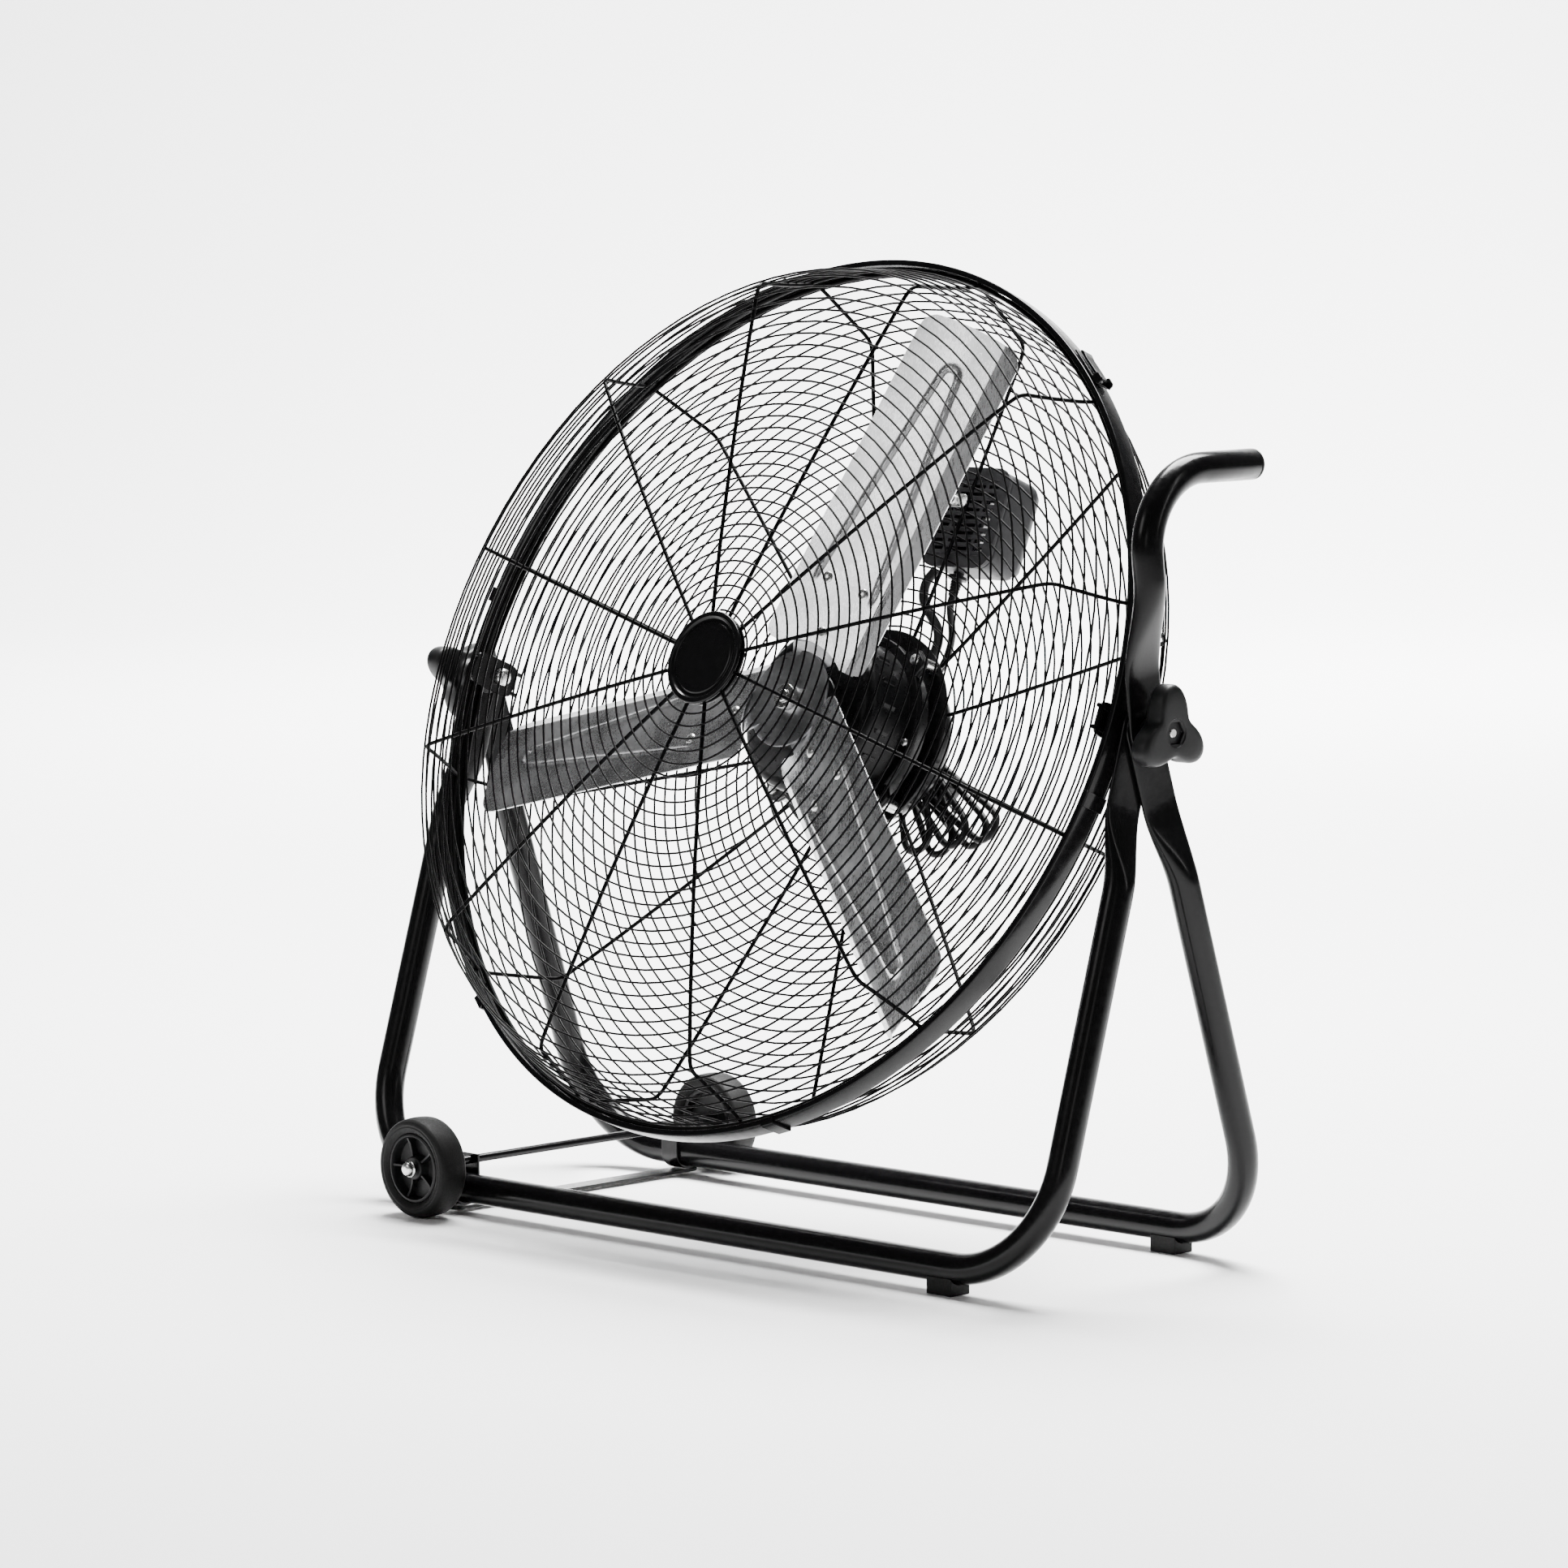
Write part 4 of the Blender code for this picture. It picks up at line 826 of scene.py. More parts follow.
def knob(name, node, body, sign):
    """Three-lobed clamping knob with softened lobes, a round skirt and a hexagonal recess."""
    bm = bmesh.new()
    stations = [
        (0.4430, 0.0108, 0.0), (0.4427, 0.0115, 0.0), (0.4430, 0.0124, 0.0), (0.4520, 0.0142, 0.0),
        (0.4538, 0.0160, 0.02),
        (0.4546, 0.0200, 0.10), (0.4550, 0.0270, 0.27), (0.4556, 0.0302, 0.31), (0.4568, 0.0317, 0.32),
        (0.4590, 0.0325, 0.32),
        (0.4650, 0.0325, 0.32), (0.4706, 0.0325, 0.32), (0.4730, 0.0317, 0.32), (0.4746, 0.0302, 0.31),
        (0.4753, 0.0280, 0.29),
        (0.4755, 0.0240, 0.20), (0.4755, 0.0150, 0.0), (0.4754, 0.0128, 0.0), (0.4744, 0.0122, 0.0),
    ]
    if sign < 0.0:
        # No handle lies between on this side, so the skirt reaches in to the frame's flat.
        stations[:3] = [(0.4381, 0.0104, 0.0), (0.4378, 0.0111, 0.0), (0.4381, 0.0120, 0.0)]
    loops = []
    count = 120
    for x, radius, lobe in stations:
        loop = []
        for i in range(count):
            a = 2.0 * math.pi * i / count
            wave = math.cos(3.0 * (a + sign * math.radians(30.0)))
            wave = wave - 0.10 * (1.0 - wave * wave)
            r = radius * (1.0 + lobe * wave)
            loop.append((sign * x, PIVOT.y + r * math.cos(a), PIVOT.z + r * math.sin(a)))
        loops.append(loop)
    recess = 0.0098
    for x in (0.4742, 0.4712):
        loop = []
        for i in range(count):
            a = 2.0 * math.pi * i / count
            r = recess / max(math.cos((a % (math.pi / 3.0)) - math.pi / 6.0), 0.5)
            loop.append((sign * x, PIVOT.y + r * math.cos(a), PIVOT.z + r * math.sin(a)))
        loops.append(loop)
    loft(bm, loops)
    piece(name, bm, PLASTIC, body, (node,), sharp=48.0)
    bolt = bmesh.new()
    stepped_rod(bolt, PIVOT, sign, ((0.4700, 0.0040), (0.4716, 0.0040), (0.4721, 0.0034)), 24)
    piece(name + "_thread", bolt, ZINC, body, ())


def pivot_side(side, sign):
    """Bracket plate with its two prongs, spacer bush and carriage bolt at one end of the tilt axis."""
    bm = bmesh.new()
    loops = []
    outline = []
    for i in range(48):
        a = 2.0 * math.pi * i / 48
        c, s = math.cos(a), math.sin(a)
        outline.append(
            (math.copysign(abs(c) ** 0.35, c) * 0.0275, math.copysign(abs(s) ** 0.35, s) * 0.0160)
        )
    for x, share in ((0.4090, 0.985), (0.4095, 1.0), (0.4115, 1.0), (0.4120, 0.985)):
        loops.append([(sign * x, -0.0075 + y * share, z * share) for y, z in outline])
    loft(bm, loops)
    piece(
        side + "_bracket_plate", bm, PAINT, "head", (side + "_pivot_bracket",), HEAD,
        sharp=40.0,
    )
    for number, z in enumerate((-0.0100, 0.0100), 1):
        points = [HEAD @ Vector((sign * 0.4112, y, z)) for y in (-0.0378, -0.0372, 0.0268, 0.0274)]
        wire("{}_prong_{}".format(side, number), [points], 0.0021, PAINT, "head")
    bm = bmesh.new()
    stations = [
        (0.4123, 0.0043), (0.4123, 0.0072), (0.4252, 0.0072), (0.4255, 0.0076), (0.4255, 0.0160),
        (0.4258, 0.0165), (0.4279, 0.0165), (0.4282, 0.0160), (0.4282, 0.0043),
    ]
    stepped_rod(bm, MIDDLE, sign, stations, 48, closed=True)
    piece(side + "_bush", bm, PLASTIC, "head", (side + "_spacer_bush",), HEAD)
    bm = bmesh.new()
    stations = [
        (0.4006, 0.0030), (0.4008, 0.0048), (0.4016, 0.0068), (0.4030, 0.0081), (0.4048, 0.0085),
        (0.4086, 0.0085),
        (0.4088, 0.0082), (0.4088, 0.0039), (0.4618, 0.0039),
    ]
    stepped_rod(bm, MIDDLE, sign, stations, 40)
    piece(side + "_carriage_bolt", bm, ZINC, "head", (side + "_pivot_bolt",), HEAD)


knob("right_lobed_knob", "right_tilt_knob", "right_knob", 1.0)
knob("left_lobed_knob", "left_tilt_knob", "left_knob", -1.0)
pivot_side("right", 1.0)
pivot_side("left", -1.0)


# ---------------------------------------------------------------- guards and band

SPIRAL_R = 0.0010
RIB_R = 0.0019
PITCH = 0.0120
PER_TURN = 84
RIM_R = 0.0022
RIM_RADIUS = 0.4168
FRONT_LINE = (
    (0.0300, -0.1228), (0.0470, -0.1226), (0.1200, -0.1206), (0.2100, -0.1160), (0.3000, -0.1092),
    (0.3600, -0.1034),
    (0.3790, -0.1010), (0.3870, -0.0978), (0.3918, -0.0920), (0.3945, -0.0840), (0.4030, -0.0600),
    (0.4110, -0.0400),
    (0.4172, -0.0272),
)
REAR_LINE = (
    (0.0935, 0.1018), (0.1400, 0.0978), (0.1900, 0.0922), (0.2900, 0.0800), (0.3680, 0.0690),
    (0.3830, 0.0660), (0.3905, 0.0615), (0.3950, 0.0540), (0.3985, 0.0440), (0.4060, 0.0220),
    (0.4130, 0.0020),
    (0.4172, -0.0112),
)


def outline_table(line, count):
    """Even (radius, y) points along a guard's outline, with their spacing."""
    fine = smooth_points([(r, y, 0.0) for r, y in line], 24)
    points = even_points(fine, count)
    return points, (points[1] - points[0]).length


def spiral_points(line, start_radius, sign, first_angle):
    """One wire that winds outwards over the guard's outline, a PITCH further each turn."""
    table, step = outline_table(line, 1200)
    start = next(i for i, p in enumerate(table) if p.x >= start_radius)
    total = (len(table) - 1 - start) * step
    count = int(total / PITCH * PER_TURN)
    points = []
    for i in range(count + 1):
        s = start + (len(table) - 1 - start) * i / count
        low = min(int(s), len(table) - 2)
        at = table[low].lerp(table[low + 1], s - low)
        angle = first_angle + sign * 2.0 * math.pi * i / PER_TURN
        points.append(head_point(angle, at.x, at.y))
    return points


def rib_points(line, angle, inset, start_radius):
    """A straight rib along the guard's outline, set in from it so that it lies against the spiral."""
    table, _ = outline_table(line, 150)
    points = []
    for i, at in enumerate(table):
        if at.x < start_radius and at.x < 0.1:
            continue
        before = table[max(i - 1, 0)]
        after = table[min(i + 1, len(table) - 1)]
        tangent = (after - before).normalized()
        place = at + Vector((tangent.y, -tangent.x, 0.0)) * inset
        points.append(head_point(angle, place.x, place.y))
    return points


def ring_points(radius, y, count=160):
    """A ring round the head's axis."""
    return [head_point(2.0 * math.pi * i / count, radius, y) for i in range(count)]


def guards():
    ribs = [math.radians(15.0 + 30.0 * k) for k in range(12)]
    gap = SPIRAL_R + RIB_R - 0.0002
    wire(
        "front_spiral", [spiral_points(FRONT_LINE, 0.0470, 1.0, 0.0)], SPIRAL_R, WIRE,
        "head", ("front_guard",), 2,
    )
    wire(
        "front_ribs", [rib_points(FRONT_LINE, a, -gap, 0.0300) for a in ribs], RIB_R, WIRE, "head",
        (), 3,
    )
    wire(
        "front_rim", [ring_points(RIM_RADIUS, -0.0252)], RIM_R, WIRE, "head", (), 3,
        cyclic=True,
    )
    wire(
        "rear_spiral", [spiral_points(REAR_LINE, 0.0960, -1.0, 0.4)], SPIRAL_R, WIRE,
        "head", ("rear_guard",), 2,
    )
    wire(
        "rear_ribs", [rib_points(REAR_LINE, a, gap, 0.0900) for a in ribs], RIB_R, WIRE, "head",
        (), 3,
    )
    wire(
        "rear_rim", [ring_points(RIM_RADIUS, -0.0128)], RIM_R, WIRE, "head", (), 3,
        cyclic=True,
    )
    wire(
        "rear_centre_ring", [ring_points(0.0935, 0.0990, 96)], 0.0021, WIRE, "head", (), 3,
        cyclic=True,
    )


guards()


CLIP_ANGLES = (100.0, 160.0, 220.0, 280.0, 340.0)
LATCH_ANGLE = 40.0


def band():
    """The channel that clamps both rims, its five clips and its latch."""
    bm = bmesh.new()
    profile = [
        (0.4250, -0.0300), (0.4250, -0.0080), (0.4195, -0.0080), (0.4195, -0.0094),
        (0.4228, -0.0094), (0.4228, -0.0286), (0.4195, -0.0286), (0.4195, -0.0300),
    ]
    turned(bm, rounded_loop(profile, 0.0010, 3), 256, closed=True)
    piece("clamp_band", bm, PAINT, "head", ("guard_band",), HEAD, sharp=50.0)
    for number, degrees in enumerate(CLIP_ANGLES, 1):
        turn = Matrix.Rotation(math.radians(degrees), 4, "Y")
        outline = [
            (-0.0319, 0.4276), (-0.0061, 0.4276), (-0.0061, 0.4203), (-0.0076, 0.4203),
            (-0.0076, 0.4258), (-0.0304, 0.4258), (-0.0304, 0.4203), (-0.0319, 0.4203),
        ]
        bm = bmesh.new()
        extruded(bm, rounded_loop(outline, 0.0012, 3), "X", -0.0070, 0.0070)
        piece(
            "band_clip_{}".format(number), bm, PAINT, "head",
            ("guard_clip_{}".format(number),), HEAD @ turn, bevel=0.0003,
        )
    turn = HEAD @ Matrix.Rotation(math.radians(LATCH_ANGLE), 4, "Y")
    bm = bmesh.new()
    block(bm, (-0.0240, -0.0275, 0.4256), (0.0240, -0.0105, 0.4274))
    for low, high in ((-0.0275, -0.0257), (-0.0123, -0.0105)):
        outline = [
            (0.0135, 0.4268), (0.0262, 0.4268), (0.0262, 0.4315),
            (0.0238, 0.4335), (0.0165, 0.4335), (0.0150, 0.4320),
        ]
        extruded(bm, outline, "Y", low, high)
    piece("latch_bracket", bm, PAINT, "head", ("latch_base",), turn, bevel=0.0004)
    bm = bmesh.new()
    outline = [
        (-0.0212, 0.4291), (-0.0190, 0.4288), (0.0190, 0.4288), (0.0210, 0.4292), (0.0214, 0.4302),
        (0.0208, 0.4314), (-0.0100, 0.4310), (-0.0180, 0.4318), (-0.0212, 0.4306),
    ]
    extruded(bm, outline, "Y", -0.0250, -0.0130)
    piece("latch_handle", bm, PAINT, "latch", ("latch_lever",), turn, bevel=0.0006)


band()


def cap():
    """The dished plate on the front guard, and the plate behind it that clamps the ribs."""
    bm = bmesh.new()
    profile = [
        (0.0, -0.1270), (0.0325, -0.1270), (0.0338, -0.1266), (0.0348, -0.1258), (0.0372, -0.1258),
        (0.0384, -0.1266),
        (0.0396, -0.1279), (0.0425, -0.1280), (0.0440, -0.1274), (0.0446, -0.1262), (0.0446, -0.1246),
        (0.0436, -0.1243), (0.0, -0.1243),
    ]
    turned(bm, rounded(profile, 0.0006, 3), 128)
    piece("front_cap", bm, PAINT, "head", ("hub_cap",), HEAD, sharp=60.0)
    bm = bmesh.new()
    profile = [(0.0, -0.1165), (0.0415, -0.1165), (0.0432, -0.1176), (0.0436, -0.1204), (0.0, -0.1204)]
    turned(bm, rounded(profile, 0.0008, 3), 96)
    piece("rear_cap", bm, PAINT, "head", ("hub_cap_back",), HEAD, sharp=50.0)


cap()


# ---------------------------------------------------------------- blades, spider and shaft

BLADE_Y = -0.0100
BLADE_PITCH = math.radians(16.0)
BLADE_ANGLES = (16.0, 136.0, -104.0)
HALF_CHORD = 0.0560
TIP_R = 0.3805
SCALLOP_R = 0.0560
SHEET = 0.0006
RIVET_HEAD = (
    (0.0053, 0.0), (0.0053, 0.0004), (0.0046, 0.0011), (0.0033, 0.0016), (0.0017, 0.0019), (0.0004, 0.0020),
)


def blade_axes(degrees):
    """Unit vectors of a blade: along it, across its pitched chord, and out of its front face."""
    a = math.radians(degrees)
    radial = Vector((math.sin(a), 0.0, math.cos(a)))
    clockwise = Vector((math.cos(a), 0.0, -math.sin(a)))
    chord = clockwise * math.cos(BLADE_PITCH) + Y * math.sin(BLADE_PITCH)
    out = clockwise * math.sin(BLADE_PITCH) - Y * math.cos(BLADE_PITCH)
    return radial, chord, out


def ridge_height(r, t):
    """Height of the pressed hairpin rib at radius r and distance t across, in metres."""
    height = 0.0
    start = 0.118
    end = 0.330
    share = (r - start) / (end - start)
    half = 0.0330 - 0.0235 * min(max(share, 0.0), 1.08)
    fade = smooth_step((r - start + 0.012) / 0.016)
    if r <= end:
        for sign in (-1.0, 1.0):
            gap = (t - sign * half) / 0.0021
            height += 0.0019 * math.exp(-gap * gap) * fade
    else:
        gap = (math.hypot(r - end, t) - half) / 0.0021
        height += 0.0019 * math.exp(-gap * gap)
    return height


def blade_point(axes, r, t):
    """Mid-sheet point of a blade at radius r along and t across, with its turned edge and pressings."""
    radial, chord, out = axes
    lift = ridge_height(r, t)
    strip = 0.0150 + 0.0030 * (r - 0.06) / 0.32
    over = t - (HALF_CHORD - strip)
    if over > 0.0:
        lift -= over * math.tan(math.radians(26.0)) * smooth_step(over / 0.005)
        t -= over * (1.0 - math.cos(math.radians(20.0)))
    bow = 0.0022 * (1.0 - (t / HALF_CHORD) ** 2) * (r / TIP_R)
    return Vector((0.0, BLADE_Y, 0.0)) + radial * r + chord * t + out * (lift + bow - 0.0010)


def blade_outline(t):
    """Root and tip radius of the sheet at a chord position, with rounded corners."""
    size = abs(t)
    root = math.sqrt(max(SCALLOP_R ** 2 - size ** 2, 0.0))
    root = max(root, 0.0440)
    corner = 0.0070
    over = size - (HALF_CHORD - corner)
    if over > 0.0:
        root += 0.0015 + corner - math.sqrt(max(corner ** 2 - over ** 2, 0.0))
    tip = math.sqrt(TIP_R ** 2 - size ** 2)
    corner = 0.0160
    over = size - (HALF_CHORD - corner)
    if over > 0.0:
        tip -= corner - math.sqrt(max(corner ** 2 - over ** 2, 0.0))
    return root, tip


def blade(number, degrees):
    """One sheet blade as a front and a back grid joined round the edge, with its three rivets."""
    axes = blade_axes(degrees)
    columns = 104
    rows = 130
    bm = bmesh.new()
    layers = []
    stations = []
    for j in range(columns + 1):
        u = -1.0 + 2.0 * j / columns
        # Closer columns at both edges, so that the rounded corners stay smooth.
        stations.append(HALF_CHORD * (0.86 * u + 0.14 * math.sin(u * math.pi / 2.0)))
    for side in (-1.0, 1.0):
        grid = []
        for t in stations:
            root, tip = blade_outline(t)
            line = []
            for i in range(rows + 1):
                r = root + (tip - root) * i / rows
                line.append(bm.verts.new(blade_point(axes, r, t) + axes[2] * (SHEET * side)))
            grid.append(line)
        layers.append(grid)
    for grid in layers:
        for j in range(columns):
            for i in range(rows):
                bm.faces.new((grid[j][i], grid[j + 1][i], grid[j + 1][i + 1], grid[j][i + 1]))
    back, front = layers
    edge = [(j, 0) for j in range(columns)] + [(columns, i) for i in range(rows)]
    edge += [(j, rows) for j in range(columns, 0, -1)] + [(0, i) for i in range(rows, 0, -1)]
    for index, (j, i) in enumerate(edge):
        m, n = edge[(index + 1) % len(edge)]
        bm.faces.new((back[j][i], back[m][n], front[m][n], front[j][i]))
    piece(
        "fan_blade_{}".format(number), bm, BLADE, "rotor", ("blade_{}".format(number),),
        HEAD, sharp=40.0,
    )

    rivets = bmesh.new()
    radial, chord, out = axes
    for r, t in ((0.0680, 0.0), (0.1160, -0.0215), (0.1160, 0.0215)):
        for face, sign in ((SHEET, 1.0), (-SHEET - 0.0034, -1.0)):
            at = blade_point(axes, r, t) + out * face
            loft(rivets, [
                ring(at + out * height * sign, radial, chord, radius, 24) for radius, height in RIVET_HEAD
            ])
    piece("blade_rivets_{}".format(number), rivets, ZINC, "rotor", (), HEAD)


for blade_number, blade_angle in enumerate(BLADE_ANGLES, 1):
    blade(blade_number, blade_angle)


def spider():
    """The spider's round middle and three pitched arms behind the blades, its boss and the shaft."""
    arm_root = 0.0280
    arm_neck = 0.0580
    arm_tip = 0.1340
    corner = 0.0100
    steps = 40
    front = BLADE_Y - 0.0004
    rear = BLADE_Y + 0.0026
    bm = bmesh.new()
    profile = [(0.0063, front), (0.0468, front), (0.0468, rear), (0.0063, rear)]
    turned(bm, rounded_loop(profile, 0.0006, 2), 96, closed=True)
    for degrees in BLADE_ANGLES:
        radial, chord, out = blade_axes(degrees)
        a = math.radians(degrees)
        clockwise = Vector((math.cos(a), 0.0, -math.sin(a)))
        loops = []
        for i in range(steps + 1):
            r = arm_root + (arm_tip - arm_root) * i / steps
            share = smooth_step((r - arm_root) / 0.0200)
            if r < arm_neck:
                half = 0.0180 + 0.0090 * smooth_step((r - arm_root) / (arm_neck - arm_root))
            else:
                half = 0.0270 + 0.0030 * math.sin(math.pi * min((r - arm_neck) / (arm_tip - arm_neck), 1.0))
            into_corner = r - (arm_tip - corner)
            if into_corner > 0.0:
                half -= corner - math.sqrt(max(corner ** 2 - into_corner ** 2, 0.0))
            half = max(half, 0.006)
            across = clockwise.lerp(chord, share).normalized() * half
            normal = (-Y).lerp(out, share).normalized() * 0.0010
            flat = Y * (BLADE_Y + 0.0010) + radial * r
            pitched = Y * BLADE_Y + radial * r - out * (SHEET + 0.0034)
            middle = flat.lerp(pitched, share)
            loops.append([
                middle - across + normal, middle + across + normal,
                middle + across - normal, middle - across - normal,
            ])
        loft(bm, loops)
    piece("spider_plate", bm, STEEL, "rotor", ("blade_spider",), HEAD, sharp=45.0)

    bm = bmesh.new()
    profile = [(0.0062, -0.0175), (0.0120, -0.0175), (0.0120, -0.0105), (0.0062, -0.0105)]
    turned(bm, rounded_loop(profile, 0.0008, 3), 64, closed=True)
    piece("hub_boss", bm, ZINC, "rotor", ("hub_collar",), HEAD)
    bm = bmesh.new()
    profile = [(0.0, -0.0200), (0.0052, -0.0200), (0.0060, -0.0192), (0.0060, 0.1340), (0.0, 0.1340)]
    turned(bm, rounded(profile, 0.0004, 2), 48)
    piece("shaft", bm, ZINC, "rotor", ("motor_shaft",), HEAD)


spider()


# ---------------------------------------------------------------- motor

LUG_ANGLES = (45.0, 135.0, 225.0, 315.0)
LUG_SCREW_R = 0.0962


def lugged(radius, angle):
    """Flange radius with four lugs at 45 degrees."""
    if radius < 0.0885:
        return radius
    nearest = math.pi
    for degrees in LUG_ANGLES:
        turn = (angle - math.radians(degrees) + math.pi) % (2.0 * math.pi) - math.pi
        nearest = min(nearest, abs(turn))
    return radius + 0.0135 * (1.0 - smooth_step((nearest - 0.085) / 0.075))


def phillips_screw(bm, at, out, radius, height):
    """A pan-head screw standing on a face, with a cross-shaped recess sunk in its head."""
    first = out.orthogonal().normalized()
    second = out.cross(first)
    count = 48
    stations = ((1.0, 0.0), (1.0, 0.40), (0.93, 0.70), (0.74, 0.92), (0.58, 1.0))
    loops = [ring(at + out * height * up, first, second, radius * share, count) for share, up in stations]
    for share, depth in ((0.52, 1.0), (0.46, 0.45), (0.10, 0.30)):
        loop = []
        for i in range(count):
            a = 2.0 * math.pi * i / count
            cross = min(abs(math.sin(2.0 * a)), 1.0)
            reach = share * (1.0 - 0.62 * smooth_step((cross - 0.25) / 0.5))
            loop.append(
                at + (first * math.cos(a) + second * math.sin(a)) * radius * reach + out * height * depth
            )
        loops.append(loop)
    loft(bm, loops)


def motor():
    """Both covers, louvres, the rear guard's ring, and the screws, spacers and nuts that join them."""
    bm = bmesh.new()
    profile = [
        (0.0106, 0.0150), (0.0340, 0.0150), (0.0350, 0.0160), (0.0365, 0.0160), (0.0375, 0.0150),
        (0.0690, 0.0150),
        (0.0745, 0.0160), (0.0780, 0.0185), (0.0797, 0.0225), (0.0800, 0.0260), (0.0800, 0.0660),
        (0.0806, 0.0675),
        (0.0893, 0.0675), (0.0897, 0.0680), (0.0897, 0.0706), (0.0893, 0.0710), (0.0775, 0.0710),
        (0.0775, 0.0250),
        (0.0690, 0.0180), (0.0160, 0.0180), (0.0160, 0.0268), (0.0133, 0.0268), (0.0133, 0.0180),
        (0.0106, 0.0180),
    ]
    turned(bm, profile, 240, closed=True, reach=lugged)
    piece("motor_front_cover", bm, SHELL, "head", ("motor_front_shell",), HEAD, sharp=40.0)
    bm = bmesh.new()
    profile = [
        (0.0, 0.1400), (0.0420, 0.1400), (0.0430, 0.1390), (0.0450, 0.1390), (0.0460, 0.1400),
        (0.0650, 0.1396),
        (0.0710, 0.1376), (0.0748, 0.1340), (0.0768, 0.1290), (0.0775, 0.1240), (0.0775, 0.0760),
        (0.0780, 0.0748),
        (0.0893, 0.0748), (0.0897, 0.0743), (0.0897, 0.0718), (0.0893, 0.0713), (0.0750, 0.0713),
        (0.0750, 0.1270),
        (0.0725, 0.1330), (0.0660, 0.1370), (0.0, 0.1370),
    ]
    turned(bm, profile, 240, reach=lugged)
    piece("motor_rear_cover", bm, SHELL, "head", ("motor_rear_shell",), HEAD, sharp=40.0)

    # Raised cooling louvres round both covers.
    bm = bmesh.new()
    for row_y, length, radius in ((0.0300, 0.018, 0.0801), (0.1050, 0.020, 0.0776)):
        for k in range(20):
            a = 2.0 * math.pi * (k + 0.5) / 20
            outward = Vector((math.sin(a), 0.0, math.cos(a)))
            tangent = Vector((math.cos(a), 0.0, -math.sin(a)))
            loops = []
            for y, half, rise in (
                (row_y, 0.0006, -0.0004), (row_y + 0.0015, 0.0022, 0.0010),
                (row_y + length - 0.0015, 0.0022, 0.0010),
                (row_y + length, 0.0006, -0.0004),
            ):
                base = outward * (radius - 0.0006) + Vector((0.0, y, 0.0))
                loops.append([
                    base - tangent * half, base + tangent * half,
                    base + tangent * half * 0.6 + outward * (rise + 0.0008),
                    base - tangent * half * 0.9 + outward * (rise * 1.5 + 0.0012),
                ])
            loft(bm, loops)
    piece("motor_louvres", bm, SHELL, "head", (), HEAD, sharp=40.0)

    bm = bmesh.new()
    profile = [(0.0813, 0.0925), (0.1028, 0.0925), (0.1028, 0.0955), (0.0813, 0.0955)]
    turned(bm, rounded_loop(profile, 0.0006, 2), 160, closed=True)
    piece("rear_guard_ring", bm, SHELL, "head", ("motor_mount_ring",), HEAD)

    bm = bmesh.new()
    for angles, at_radius, radius, height in (
        (LUG_ANGLES, LUG_SCREW_R, 0.0052, 0.0034), ((8.0, 98.0, 188.0, 278.0), 0.0846, 0.0036, 0.0026),
    ):
        for degrees in angles:
            a = math.radians(degrees)
            at = Vector((at_radius * math.sin(a), 0.0674, at_radius * math.cos(a)))
            phillips_screw(bm, at, -Y, radius, height)
    piece("motor_screws", bm, ZINC, "head", (), HEAD, sharp=30.0)
    bm = bmesh.new()
    for degrees in LUG_ANGLES:
        a = math.radians(degrees)
        centre = Vector((LUG_SCREW_R * math.sin(a), 0.0, LUG_SCREW_R * math.cos(a)))
        # A round spacer in front of the guard ring and a hexagon nut behind it.
        for low, high, radius, sides in ((0.0750, 0.0924, 0.0062, 36), (0.0956, 0.0990, 0.0060, 6)):
            loft(bm, [ring(centre + Y * y, Z, X, radius, sides) for y in (low, high)])
    piece("motor_standoffs", bm, ZINC, "head", (), HEAD, bevel=0.0004)


motor()


